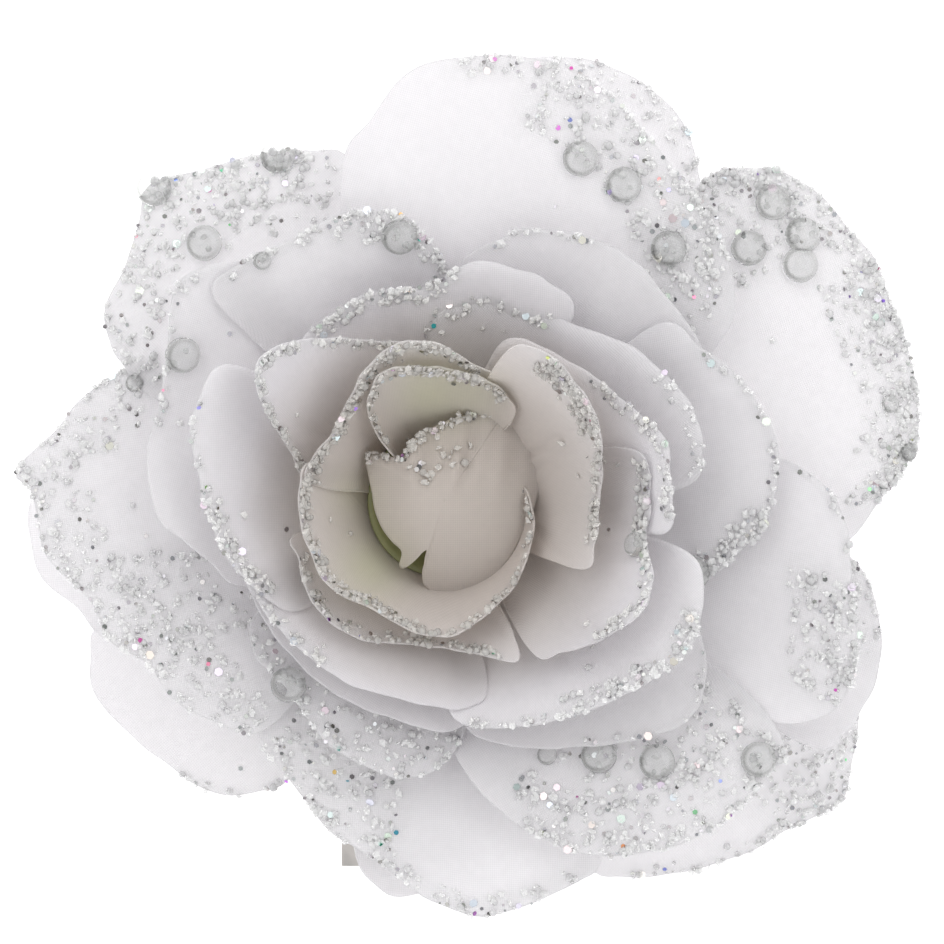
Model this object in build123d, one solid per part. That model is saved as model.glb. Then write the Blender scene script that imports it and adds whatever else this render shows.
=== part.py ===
from build123d import *
import math
import os
from dataclasses import dataclass

# Flower hair clip: a layered fabric rose glued to the fixed plate of a metal alligator clip.
# Millimetres, +Z up. The flower faces up and the clip lies on the table along Y, handles towards -Y.
# The pieces are built about the flower's own axis and then moved, so that the origin is at the
# centre of the overall box, on the table.


# ---------------------------------------------------------------- sizes: metal clip
PLATE_THICKNESS = 0.7
CLIP_WIDTH = 10.0
CLIP_CENTRE_X = -7.4            # the clip sits a little to one side of the flower's axis
HANDLE_END_Y = -44.0
JAW_END_Y = 14.0
PIVOT_Y = -25.0
PIVOT_HEIGHT = 6.4              # pin axis above the table
PLATE_GAP_ABOVE_PIN = 3.1       # pin axis to the underside of the fixed plate
PLATE_GAP_BELOW_PIN = 3.0       # pin axis to the upper side of the moving plate
HANDLE_LAND = 6.0               # flat of the moving handle that lies on the table
JAW_LAND = 7.0                  # flat of the moving jaw that grips against the fixed plate
JAW_CLEARANCE = 0.05
BEND_RADIUS = 3.0
CORNER_RADIUS = 1.6             # rounded corners of the jaw ends

PIN_RADIUS = 1.0
PIN_HEAD_RADIUS = 1.7
PIN_HEAD_HEIGHT = 0.6
PIN_RUNNING_CLEARANCE = 0.05
EAR_RADIUS = 2.3
KNEE_MARGIN = 0.6               # flat of the moving plate beyond its ears, before it bends
EAR_NOTCH_MARGIN = 1.0          # how far the waist's notch runs beyond its ears
EAR_SIDE_CLEARANCE = 0.15

SPRING_WIRE_RADIUS = 0.35
SPRING_BORE_CLEARANCE = 0.15
SPRING_PITCH = 0.85
SPRING_WHOLE_TURNS = 5
SPRING_LEG = 11.0
SPRING_LEG_CLEARANCE = 0.05

# ---------------------------------------------------------------- sizes: pad, glue and hub
GLUE_THICKNESS = 0.4
GLUE_STRIP_WIDTH = 7.0
GLUE_STRIP_LENGTH = 26.0
PAD_RADIUS = 19.0
PAD_THICKNESS = 1.4
GLUE_DISC_RADIUS = 7.0
HUB_FLANGE_RADIUS = 9.0
HUB_FLANGE_THICKNESS = 1.2
HUB_TIER_STEP = 0.7             # each peg tier is this much smaller in radius than the one below
HUB_TIER_HEIGHT = 1.6
HUB_TOP_PEG_RADIUS = 1.5
HUB_TOP_PEG_HEIGHT = 4.0
CORE_RADIUS = 3.0
CORE_HEIGHT = 9.0
CORE_FOOT_RADIUS = 0.8 * CORE_RADIUS
CORE_WIDEST_HEIGHT = 0.35 * CORE_HEIGHT
CORE_FOOT_TANGENT = (0.3, 1)
CORE_TIP_TANGENT = (-1, 0.25)
CORE_CLEARANCE = 0.05

# ---------------------------------------------------------------- sizes: fabric layers
FABRIC_THICKNESS = 0.3
LAYER_HOLE_CLEARANCE = 0.05
LAYER_COLLAR = 2.2              # width of the flat ring between the hole and the petals
PETAL_OVERLAP = 1.2             # how far a petal runs into that ring
PETAL_BASE_SHARE = 0.40         # half width of a petal's base, as a share of its base radius
WIDEST_AT = 0.78                # where along a petal it is widest
TIP_ROUNDING = 0.24             # how much shorter a petal's sides are than its middle
TIP_POWER = 3.0
SWIRL_START = 0.80              # share of the length over which the sideways tilt grows
PETAL_GRID_POINTS = 7           # points along and across a petal that its surface passes through
NORMAL_STEP = 0.01              # step along and across a petal over which its normal is taken

LIFT_POWER = 4                  # a petal's tip lift or bend is gathered towards its rim
TABLE_SWIRL_SHARE = 0.25        # height of a resting petal's tip, as a share of its sideways tilt

DEWDROP_RADIUS = 2.15
DEWDROP_HEIGHT = 1.7
DEWDROP_CLEARANCE = 0.12


ALIGN_BASE = (Align.CENTER, Align.CENTER, Align.MIN)


@dataclass(frozen=True)
class Petal:
    """One petal: direction in degrees from +X, length along its curve, greatest width, how far
    its tip is raised above the curve of its layer, and whether it bends down to the table."""

    azimuth: float
    length: float
    width: float
    lift: float = 0.0
    rests_on_table: bool = False


@dataclass(frozen=True)
class Layer:
    """One die-cut fabric layer. Its petals follow an arc whose slope turns from base_slope to
    rim_slope (degrees) over arc_length, and each one is tilted sideways by swirl, so that
    neighbours pass over one another."""

    name: str
    base_slope: float
    rim_slope: float
    arc_length: float
    swirl: float
    petals: tuple


@dataclass(frozen=True)
class Dewdrops:
    """Clear beads glued to one layer: petal number, share of its length, and place across it
    from -1 to 1."""

    name: str
    layer: int
    places: tuple


LAYERS = (
    Layer("petals_back", 8.0, -20.0, 50.0, 1.0, (
        Petal(60.0, 46.5, 46.0, rests_on_table=True),
        Petal(174.0, 42.0, 38.0, rests_on_table=True),
        Petal(212.0, 38.5, 36.0, rests_on_table=True),
        Petal(259.0, 38.5, 30.0, lift=3.0),
        Petal(315.0, 47.5, 46.0, rests_on_table=True),
    )),
    Layer("petals_outer", 20.0, -14.0, 50.0, 1.0, (
        Petal(27.0, 52.0, 56.0),
        Petal(132.0, 43.5, 46.0),
        Petal(187.0, 44.0, 47.0),
        Petal(269.0, 43.0, 48.0),
        Petal(338.0, 48.5, 44.0),
    )),
    Layer("petals_front", 26.0, -4.0, 48.0, 1.0, (
        Petal(72.0, 48.0, 54.0),
        Petal(243.0, 27.5, 36.0),
        Petal(300.0, 42.0, 44.0),
        Petal(343.0, 46.0, 42.0),
    )),
    Layer("petals_middle", 30.0, 6.0, 40.0, 1.0, (
        Petal(56.0, 31.5, 44.0),
        Petal(145.0, 32.0, 50.0),
        Petal(235.0, 20.0, 32.0),
        Petal(325.0, 31.5, 36.0),
        Petal(8.0, 36.5, 38.0),
    )),
    Layer("petals_inner", 31.0, 40.0, 30.0, 0.9, (
        Petal(40.0, 28.5, 34.0),
        Petal(96.0, 26.0, 32.0),
        Petal(175.0, 29.0, 32.0),
        Petal(240.0, 22.0, 30.0),
        Petal(314.0, 32.0, 38.0),
    )),
    Layer("petals_cup", 37.0, 54.0, 28.0, 0.8, (
        Petal(18.0, 23.5, 24.0),
        Petal(82.0, 20.0, 24.0),
        Petal(149.0, 30.0, 24.0),
        Petal(234.0, 20.5, 30.0),
        Petal(330.0, 28.0, 26.0),
    )),
    Layer("petals_ring", 44.0, 66.0, 20.0, 0.7, (
        Petal(20.0, 20.0, 22.0),
        Petal(110.0, 21.0, 22.0),
        Petal(205.0, 19.0, 24.0),
        Petal(284.0, 17.0, 22.0),
    )),
    Layer("petals_bud", 54.0, 92.0, 16.0, 0.6, (
        Petal(92.0, 16.0, 16.0),
        Petal(212.0, 14.0, 16.0),
        Petal(332.0, 15.0, 16.0),
    )),
)

DEWDROP_GROUPS = (
    Dewdrops("dewdrops_outer", 1, (
        (1, 0.93, -0.60), (1, 0.94, 0.04), (1, 0.78, 0.02),
        (0, 0.76, 0.40), (0, 0.90, 0.34), (0, 0.80, 0.18), (0, 0.91, 0.54),
    )),
    Dewdrops("dewdrops_front", 2, (
        (0, 0.77, -0.10), (0, 0.77, -0.32), (0, 0.74, -0.61),
        (2, 0.69, 0.03), (2, 0.81, 0.30), (2, 0.92, 0.66), (1, 0.85, -0.39),
    )),
    Dewdrops("dewdrops_middle", 3, ((1, 0.90, -0.66), (1, 0.93, 0.16), (3, 0.86, 0.58))),
    Dewdrops("dewdrops_inner", 4, ((4, 0.78, 0.66),)),
)


# ---------------------------------------------------------------- heights worked out from the sizes
FIXED_PLATE_UNDERSIDE = PIVOT_HEIGHT + PLATE_GAP_ABOVE_PIN
FIXED_PLATE_TOP = FIXED_PLATE_UNDERSIDE + PLATE_THICKNESS
PAD_BASE = FIXED_PLATE_TOP + GLUE_THICKNESS
PAD_TOP = PAD_BASE + PAD_THICKNESS
HUB_BASE = PAD_TOP + GLUE_THICKNESS
FIRST_LEDGE = HUB_BASE + HUB_FLANGE_THICKNESS


def ledge_height(index):
    """Height of the ledge on which layer number index lies."""
    return FIRST_LEDGE + index * HUB_TIER_HEIGHT


def peg_radius(index):
    """Radius of the hub inside the hole of layer number index."""
    return HUB_FLANGE_RADIUS - (index + 1) * HUB_TIER_STEP


def collar_radius(index):
    """Outer radius of the flat ring of layer number index."""
    return peg_radius(index) + LAYER_COLLAR


# ---------------------------------------------------------------- petals
def petal_point(index, petal, along, across):
    """Point on the underside of a petal.

    along runs from 0 at the base to 1 at the rim, across from -1 to 1. The petal follows its
    layer's arc outwards and wraps around the flower's axis sideways.
    """
    layer = LAYERS[index]
    base_radius = collar_radius(index) - PETAL_OVERLAP
    base_slope = math.radians(layer.base_slope)
    turn = math.radians(layer.rim_slope - layer.base_slope) / layer.arc_length

    distance = along * petal.length * (1 - TIP_ROUNDING * abs(across) ** TIP_POWER)
    slope = base_slope + turn * distance
    radius = base_radius + (math.sin(slope) - math.sin(base_slope)) / turn
    height = ledge_height(index) + (math.cos(base_slope) - math.cos(slope)) / turn
    lift = petal.lift
    if petal.rests_on_table:
        tip_slope = base_slope + turn * petal.length
        tip_height = ledge_height(index) + (math.cos(base_slope) - math.cos(tip_slope)) / turn
        lift = TABLE_SWIRL_SHARE * layer.swirl - tip_height

    base_half = base_radius * PETAL_BASE_SHARE
    fullness = math.sin(math.pi * along / (2 * WIDEST_AT))
    half_width = base_half + (petal.width / 2 - base_half) * fullness
    angle = math.radians(petal.azimuth) + across * half_width / radius

    ease = min(1.0, along / SWIRL_START)
    tilt = layer.swirl * across * ease * ease * (3 - 2 * ease)
    radius -= tilt * math.sin(slope)
    height += tilt * math.cos(slope) + lift * along ** LIFT_POWER
    return Vector(radius * math.cos(angle), radius * math.sin(angle), height)


def petal_normal(index, petal, along, across):
    """Unit normal of a petal, pointing to the side that faces the viewer."""
    inner = petal_point(index, petal, along - NORMAL_STEP, across)
    outer = petal_point(index, petal, along + NORMAL_STEP, across)
    right = petal_point(index, petal, along, across - NORMAL_STEP)
    left = petal_point(index, petal, along, across + NORMAL_STEP)
    return (outer - inner).cross(left - right).normalized()


def petal_solid(index, petal):
    """One petal as a sheet of fabric with its thickness above the petal's underside."""
    shares = [number / (PETAL_GRID_POINTS - 1) for number in range(PETAL_GRID_POINTS)]
    grid = [[petal_point(index, petal, along, 2 * side - 1) for side in shares] for along in shares]
    face = Face.make_surface_from_array_of_points(grid)
    middle = petal_normal(index, petal, 0.5, 0.0)
    return Solid.thicken(face, FABRIC_THICKNESS, normal_override=middle)


def layer_solid(index):
    """A fabric layer: a flat ring round the hub with its petals joined to it."""
    hole = peg_radius(index) + LAYER_HOLE_CLEARANCE
    ring = Cylinder(collar_radius(index), FABRIC_THICKNESS, align=ALIGN_BASE)
    ring -= Cylinder(hole, FABRIC_THICKNESS, align=ALIGN_BASE)
    piece = Pos(0, 0, ledge_height(index)) * ring
    for petal in LAYERS[index].petals:
        piece += petal_solid(index, petal)
    return piece


# ---------------------------------------------------------------- dewdrops, hub, pad and glue
def dewdrop_group(group):
    """The domed beads of one layer, each with its flat side just off the fabric."""
    sphere_radius = (DEWDROP_RADIUS ** 2 + DEWDROP_HEIGHT ** 2) / (2 * DEWDROP_HEIGHT)
    dome = Pos(0, 0, DEWDROP_HEIGHT - sphere_radius) * Sphere(sphere_radius)
    dome = split(dome, bisect_by=Plane.XY)
    lift = FABRIC_THICKNESS + DEWDROP_CLEARANCE
    beads = []
    for petal_number, along, across in group.places:
        petal = LAYERS[group.layer].petals[petal_number]
        point = petal_point(group.layer, petal, along, across)
        normal = petal_normal(group.layer, petal, along, across)
        beads.append(Plane(origin=point + normal * lift, z_dir=normal).location * dome)
    return beads


def hub_solid():
    """Plastic hub: a flange on the pad and a peg that steps in at each fabric layer."""
    flange = Cylinder(HUB_FLANGE_RADIUS, HUB_FLANGE_THICKNESS, align=ALIGN_BASE)
    hub = Pos(0, 0, HUB_BASE) * flange
    for index in range(len(LAYERS)):
        tier = Cylinder(peg_radius(index), HUB_TIER_HEIGHT, align=ALIGN_BASE)
        hub += Pos(0, 0, ledge_height(index)) * tier
    top_peg = Cylinder(HUB_TOP_PEG_RADIUS, HUB_TOP_PEG_HEIGHT, align=ALIGN_BASE)
    hub += Pos(0, 0, ledge_height(len(LAYERS))) * top_peg
    return hub


def core_solid():
    """Bud-shaped plastic core that pushes onto the hub's top peg."""
    base = ledge_height(len(LAYERS))
    with BuildPart() as core:
        with BuildSketch(Plane.XZ):
            with BuildLine():
                foot = Line((0, 0), (CORE_FOOT_RADIUS, 0))
                side = Spline(
                    foot @ 1,
                    (CORE_RADIUS, CORE_WIDEST_HEIGHT),
                    (0, CORE_HEIGHT),
                    tangents=(CORE_FOOT_TANGENT, CORE_TIP_TANGENT),
                )
                Line(side @ 1, foot @ 0)
            make_face()
        revolve(axis=Axis.Z)
    socket_radius = HUB_TOP_PEG_RADIUS + CORE_CLEARANCE
    socket = Cylinder(socket_radius, HUB_TOP_PEG_HEIGHT + CORE_CLEARANCE, align=ALIGN_BASE)
    return Pos(0, 0, base) * (core.part - socket)


def pad_solid():
    """Felt disc that the flower and the clip are glued to."""
    return Pos(0, 0, PAD_BASE) * Cylinder(PAD_RADIUS, PAD_THICKNESS, align=ALIGN_BASE)


def glue_solids():
    """Glue between pad and hub, and between fixed plate and pad."""
    disc = Pos(0, 0, PAD_TOP) * Cylinder(GLUE_DISC_RADIUS, GLUE_THICKNESS, align=ALIGN_BASE)
    strip = Pos(CLIP_CENTRE_X, 0, FIXED_PLATE_TOP) * Box(
        GLUE_STRIP_WIDTH, GLUE_STRIP_LENGTH, GLUE_THICKNESS, align=ALIGN_BASE
    )
    return [disc, strip]


# ---------------------------------------------------------------- metal clip
def across_clip(radius, length):
    """Cylinder along X, centred on the pivot axis."""
    return Pos(CLIP_CENTRE_X, PIVOT_Y, PIVOT_HEIGHT) * Rot(0, 90, 0) * Cylinder(radius, length)


def strip_from_side_line(points, width):
    """Bent strip of the plate's thickness, from the side view of its upper face as (y, z) points."""
    with BuildPart() as strip:
        with BuildSketch(Plane.YZ):
            with BuildLine():
                upper = FilletPolyline(*points, radius=BEND_RADIUS)
                lower = Pos(0, -PLATE_THICKNESS) * upper
                add(lower)
                Line(upper @ 0, lower @ 0)
                Line(upper @ 1, lower @ 1)
            make_face()
        extrude(amount=width / 2, both=True)
    return Pos(CLIP_CENTRE_X, 0, 0) * strip.part


def round_jaw_corners(plate):
    """Round the two upright corners at the jaw's end."""
    end_edges = plate.edges().filter_by(Axis.Z).group_by(Axis.Y)[-1]
    return fillet(end_edges, CORNER_RADIUS)


def ears(outer_half_width, base_height, hole_radius):
    """Pair of ears in line with the pin, from base_height to the pin and round it."""
    height = base_height - PIVOT_HEIGHT
    centre = outer_half_width - PLATE_THICKNESS / 2
    pair = []
    for side in (-1, 1):
        ear = Rot(0, 90, 0) * Cylinder(EAR_RADIUS, PLATE_THICKNESS)
        ear += Pos(0, 0, height / 2) * Box(PLATE_THICKNESS, 2 * EAR_RADIUS, abs(height))
        ear -= Rot(0, 90, 0) * Cylinder(hole_radius, 2 * PLATE_THICKNESS)
        pair.append(Pos(CLIP_CENTRE_X + side * centre, PIVOT_Y, PIVOT_HEIGHT) * ear)
    return pair


def fixed_plate():
    """Flat upper plate under the flower, with its two ears outside those of the moving plate."""
    length = JAW_END_Y - HANDLE_END_Y
    plate = Pos(CLIP_CENTRE_X, (JAW_END_Y + HANDLE_END_Y) / 2, FIXED_PLATE_UNDERSIDE) * Box(
        CLIP_WIDTH, length, PLATE_THICKNESS, align=ALIGN_BASE
    )
    plate = round_jaw_corners(plate)
    for ear in ears(CLIP_WIDTH / 2, FIXED_PLATE_UNDERSIDE, PIN_RADIUS):
        plate += ear
    return plate


def moving_plate():
    """Lower plate: handle flat on the table, waist with ears at the pin, and the gripping jaw."""
    waist_top = PIVOT_HEIGHT - PLATE_GAP_BELOW_PIN
    jaw_top = FIXED_PLATE_UNDERSIDE - JAW_CLEARANCE
    knee = EAR_RADIUS + KNEE_MARGIN
    points = (
        (HANDLE_END_Y, PLATE_THICKNESS),
        (HANDLE_END_Y + HANDLE_LAND, PLATE_THICKNESS),
        (PIVOT_Y - knee, waist_top),
        (PIVOT_Y + knee, waist_top),
        (JAW_END_Y - JAW_LAND, jaw_top),
        (JAW_END_Y, jaw_top),
    )
    plate = strip_from_side_line(points, CLIP_WIDTH)
    plate = round_jaw_corners(plate)
    waist_half = CLIP_WIDTH / 2 - PLATE_THICKNESS - EAR_SIDE_CLEARANCE
    for side in (-1, 1):
        notch = Box(CLIP_WIDTH, 2 * (EAR_RADIUS + EAR_NOTCH_MARGIN), 2 * PLATE_GAP_BELOW_PIN)
        plate -= Pos(CLIP_CENTRE_X + side * (waist_half + CLIP_WIDTH / 2), PIVOT_Y, waist_top) * notch
    for ear in ears(waist_half, waist_top - PLATE_THICKNESS / 2, PIN_RADIUS + PIN_RUNNING_CLEARANCE):
        plate += ear
    return plate


def hinge_pin():
    """Rivet through all four ears, with a flat head outside each of the fixed plate's ears."""
    pin = across_clip(PIN_RADIUS, CLIP_WIDTH)
    for side in (-1, 1):
        head = across_clip(PIN_HEAD_RADIUS, PIN_HEAD_HEIGHT)
        pin += Pos(side * (CLIP_WIDTH + PIN_HEAD_HEIGHT) / 2, 0, 0) * head
    return pin


def torsion_spring():
    """Coil round the pin with one leg under the fixed handle and one on the moving handle."""
    coil_radius = PIN_RADIUS + SPRING_BORE_CLEARANCE + SPRING_WIRE_RADIUS
    reach = coil_radius + SPRING_WIRE_RADIUS + SPRING_LEG_CLEARANCE
    knee = EAR_RADIUS + KNEE_MARGIN
    knee_run = PIVOT_Y - knee - (HANDLE_END_Y + HANDLE_LAND)
    knee_drop = PIVOT_HEIGHT - PLATE_GAP_BELOW_PIN - PLATE_THICKNESS
    handle_slope = math.atan2(knee_drop, knee_run)
    handle_gap = PLATE_GAP_BELOW_PIN * math.cos(handle_slope) - knee * math.sin(handle_slope)
    lower_tilt = handle_slope + math.asin((handle_gap - reach) / SPRING_LEG)
    upper_tilt = math.asin((PLATE_GAP_ABOVE_PIN - reach) / SPRING_LEG)

    turn_angle = 360 * SPRING_WHOLE_TURNS + 180 - math.degrees(lower_tilt + upper_tilt)
    coil_height = SPRING_PITCH * turn_angle / 360
    helix = Edge.make_helix(SPRING_PITCH, coil_height, coil_radius)
    section = Circle(SPRING_WIRE_RADIUS)
    start = Plane(origin=helix @ 0, z_dir=helix % 0)
    finish = Plane(origin=helix @ 1, z_dir=helix % 1)
    spring = sweep(start * section, path=helix, is_frenet=True)
    spring += extrude(start * section, amount=-SPRING_LEG)
    spring += extrude(finish * section, amount=SPRING_LEG)
    spring = Pos(0, 0, -coil_height / 2) * Rot(0, 0, math.degrees(lower_tilt)) * spring
    return Pos(CLIP_CENTRE_X, PIVOT_Y, PIVOT_HEIGHT) * Rot(0, 90, 0) * spring


# ---------------------------------------------------------------- the whole clip
def build_pieces():
    """Every piece by its name, about the flower's own axis."""
    pieces = {
        "clip_fixed_plate": fixed_plate(),
        "clip_moving_plate": moving_plate(),
        "clip_hinge_pin": hinge_pin(),
        "clip_spring": torsion_spring(),
        "felt_pad": pad_solid(),
        "glue": glue_solids(),
        "hub": hub_solid(),
        "bud_core": core_solid(),
    }
    for index, layer in enumerate(LAYERS):
        pieces[layer.name] = layer_solid(index)
    for group in DEWDROP_GROUPS:
        pieces[group.name] = dewdrop_group(group)
    return pieces


def main():
    """Build the pieces, move the origin under the middle of the overall box and write the files."""
    pieces = build_pieces()
    solids = {
        name: [solid for part in (piece if isinstance(piece, list) else [piece]) for solid in part.solids()]
        for name, piece in pieces.items()
    }
    box = Compound(children=[solid for group in solids.values() for solid in group]).bounding_box()
    middle = box.center()
    shift = Pos(-middle.X, -middle.Y, -box.min.Z)
    print(f"hub axis at x {-middle.X:.3f}, y {-middle.Y:.3f}, raised by {-box.min.Z:.3f}")
    print(f"overall size {box.size.X:.2f} x {box.size.Y:.2f} x {box.size.Z:.2f}")
    os.makedirs("parts", exist_ok=True)
    for name, group in solids.items():
        moved = Compound(label=name, children=[shift * solid for solid in group])
        export_step(moved, f"parts/{name}.step")


main()
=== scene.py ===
import logging
import math
from dataclasses import dataclass, field
from enum import Enum

import bpy
import numpy as np
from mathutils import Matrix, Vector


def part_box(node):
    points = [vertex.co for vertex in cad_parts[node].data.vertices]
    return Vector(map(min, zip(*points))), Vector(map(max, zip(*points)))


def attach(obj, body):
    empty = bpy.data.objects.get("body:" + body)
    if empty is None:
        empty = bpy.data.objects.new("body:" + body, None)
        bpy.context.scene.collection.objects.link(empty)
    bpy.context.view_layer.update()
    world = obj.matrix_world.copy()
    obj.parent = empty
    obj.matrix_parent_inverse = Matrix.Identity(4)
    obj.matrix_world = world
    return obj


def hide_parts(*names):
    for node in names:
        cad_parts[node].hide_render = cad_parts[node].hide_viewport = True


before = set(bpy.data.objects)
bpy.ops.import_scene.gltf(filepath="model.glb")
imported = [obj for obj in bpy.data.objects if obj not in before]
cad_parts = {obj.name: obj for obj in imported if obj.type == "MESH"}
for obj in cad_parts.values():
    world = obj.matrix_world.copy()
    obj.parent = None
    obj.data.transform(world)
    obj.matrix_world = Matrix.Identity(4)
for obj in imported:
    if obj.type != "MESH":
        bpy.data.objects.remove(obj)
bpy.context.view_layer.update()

# A flower hair clip: eight die-cut layers of white fabric on a plastic hub, dusted with glitter
# and clear beads, on a sprung metal clip. Lengths in the petal tables are millimetres from the
# hub's own axis; every mesh is made in metres.

MM = 0.001
LOG = logging.getLogger("flower_clip")
HUB_LOW, HUB_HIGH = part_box("hub")
AXIS = np.array([(HUB_LOW.x + HUB_HIGH.x) / 2, (HUB_LOW.y + HUB_HIGH.y) / 2, HUB_LOW.z])
HUB_BASE = 12.4                 # height of the hub's underside in the petal tables
CLOTH_THICKNESS = 0.22
VIEW_HEIGHT = 1500.0            # the outlines are as seen from here, so higher rims are drawn in
SPAN_STEPS = 24                 # steps of a smooth line between two of its corners
RIM_POINTS = 401                # points of a rim once it is evenly divided
STEP = 0.004                    # step along and across a petal over which its normal is taken


def to_frame(points: np.ndarray) -> np.ndarray:
    """Moves points from millimetres about the hub's axis into the shared frame in metres.

    Args:
        points: Array whose last axis holds x, y and height in millimetres.

    Returns:
        The same array in metres, in the frame of the CAD model.
    """
    return (points - np.array([0.0, 0.0, HUB_BASE])) * MM + AXIS


# ---------------------------------------------------------------- meshes
def grid_faces(rows: int, columns: int, first: int = 0) -> np.ndarray:
    """Quads of a grid of points stored row by row.

    Args:
        rows: Number of rows of points.
        columns: Number of points in a row.
        first: Index of the grid's first point.

    Returns:
        Array of four point indices for each quad.
    """
    corner = first + np.arange(rows * columns).reshape(rows, columns)
    quads = [corner[:-1, :-1], corner[1:, :-1], corner[1:, 1:], corner[:-1, 1:]]
    return np.stack(quads, -1).reshape(-1, 4)


def mesh_piece(
    name: str, points: np.ndarray, faces: list, smooth: bool = True
) -> bpy.types.Object:
    """Makes a mesh object at the origin.

    Args:
        name: Name of the piece.
        points: Array of points in metres.
        faces: Lists of point indices.
        smooth: Whether the faces are shaded smooth.

    Returns:
        The new object, linked to the scene.
    """
    mesh = bpy.data.meshes.new(name)
    mesh.from_pydata(points.reshape(-1, 3).tolist(), [], faces)
    mesh.polygons.foreach_set("use_smooth", np.full(len(mesh.polygons), smooth))
    mesh.update()
    piece = bpy.data.objects.new(name, mesh)
    bpy.context.scene.collection.objects.link(piece)
    return piece


def point_values(piece: bpy.types.Object, name: str, values: np.ndarray) -> None:
    """Stores one number for each point of a piece under a name that its material reads."""
    attribute = piece.data.attributes.new(name, "FLOAT", "POINT")
    attribute.data.foreach_set("value", values.astype(np.float32).ravel())


def point_colours(piece: bpy.types.Object, name: str, colours: np.ndarray) -> None:
    """Stores one colour for each point of a piece under a name that its material reads."""
    attribute = piece.data.attributes.new(name, "FLOAT_COLOR", "POINT")
    full = np.concatenate([colours, np.ones((len(colours), 1))], 1)
    attribute.data.foreach_set("color", full.astype(np.float32).ravel())


def thread_map(piece: bpy.types.Object, across: np.ndarray) -> None:
    """Gives a piece its UV map, which runs in millimetres along the two sets of threads.

    Args:
        piece: The cloth.
        across: Array of two thread coordinates for each point.
    """
    layer = piece.data.uv_layers.new(name="threads")
    corners = np.zeros(len(piece.data.loops), np.int32)
    piece.data.loops.foreach_get("vertex_index", corners)
    layer.data.foreach_set("uv", across.reshape(-1, 2)[corners].astype(np.float32).ravel())


def turned_profile(
    profile: np.ndarray, sides: int, wobble: np.ndarray | float = 0.0
) -> tuple[np.ndarray, list]:
    """Turns a side profile about the upright axis: radius and height at every bearing.

    Args:
        profile: Array of radius and height, from the axis at the bottom to the axis at the top.
        sides: Number of bearings.
        wobble: Array of profile rows by sides, added to the radius.

    Returns:
        The points and the faces, with the poles closed by triangles.
    """
    bearing = np.linspace(0, 2 * math.pi, sides, endpoint=False)
    rings = profile[1:-1]
    radius = np.repeat(rings[:, :1], sides, 1) + wobble
    height = np.repeat(rings[:, 1:], sides, 1)
    body = np.stack([radius * np.cos(bearing), radius * np.sin(bearing), height], -1).reshape(-1, 3)
    poles = np.array([[0, 0, profile[0, 1]], [0, 0, profile[-1, 1]]])
    points = np.concatenate([body, poles])
    column = np.arange(sides)
    following = (column + 1) % sides
    start = np.arange(len(rings) - 1)[:, None] * sides
    above = start + sides
    walls = np.stack([start + column, start + following, above + following, above + column], -1)
    last = (len(rings) - 1) * sides
    low = np.stack([np.full(sides, len(body)), following, column], -1)
    high = np.stack([np.full(sides, len(body) + 1), last + column, last + following], -1)
    return points, walls.reshape(-1, 4).tolist() + low.tolist() + high.tolist()


def smooth_line(corners: np.ndarray, count: int, closed: bool = False) -> np.ndarray:
    """Runs a Catmull-Rom curve through points and divides it evenly by its length.

    Each span between two points is a cubic whose end slopes are half the step between the
    neighbours of each end.

    Args:
        corners: Points that the curve passes through.
        count: Number of points wanted.
        closed: Whether the curve returns to its first point.

    Returns:
        The evenly spaced points.
    """
    if closed:
        held = np.concatenate([corners[-1:], corners, corners[:2]])
    else:
        held = np.concatenate([2 * corners[:1] - corners[1:2], corners, 2 * corners[-1:] - corners[-2:-1]])
    share = np.linspace(0, 1, SPAN_STEPS, endpoint=False)[None, :, None]
    a, b, c, d = (held[k:len(held) - 3 + k, None] for k in range(4))
    spans = b + share * (c - a) / 2 + share ** 2 * (2 * a - 5 * b + 4 * c - d) / 2
    spans = spans + share ** 3 * (3 * b - a - 3 * c + d) / 2
    line = np.concatenate([spans.reshape(-1, corners.shape[1]), held[-2:-1]])
    steps = np.linalg.norm(np.diff(line[:, :2], axis=0), axis=1)
    run = np.concatenate([[0], np.cumsum(steps)])
    wanted = np.linspace(0, run[-1], count)
    return np.stack([np.interp(wanted, run, line[:, k]) for k in range(line.shape[1])], -1)


def eased(x: np.ndarray) -> np.ndarray:
    """Smooth step from 0 to 1."""
    held = np.clip(x, 0, 1)
    return held * held * (3 - 2 * held)


def ripples(
    x: np.ndarray, y: np.ndarray, rng: np.random.Generator, shortest: float, longest: float
) -> np.ndarray:
    """Gentle unevenness of cloth: six plane waves of random direction, length and start, averaged.

    Args:
        x: First coordinate in millimetres.
        y: Second coordinate in millimetres.
        rng: Source of the random waves.
        shortest: Shortest wavelength in millimetres.
        longest: Longest wavelength in millimetres.

    Returns:
        Values between about -1 and 1.
    """
    heading = rng.uniform(0, 2 * math.pi, 6)
    number = 2 * math.pi / rng.uniform(shortest, longest, 6)
    start = rng.uniform(0, 2 * math.pi, 6)
    phase = (x[..., None] * np.cos(heading) + y[..., None] * np.sin(heading)) * number + start
    return np.sin(phase).sum(-1) / 3


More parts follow.
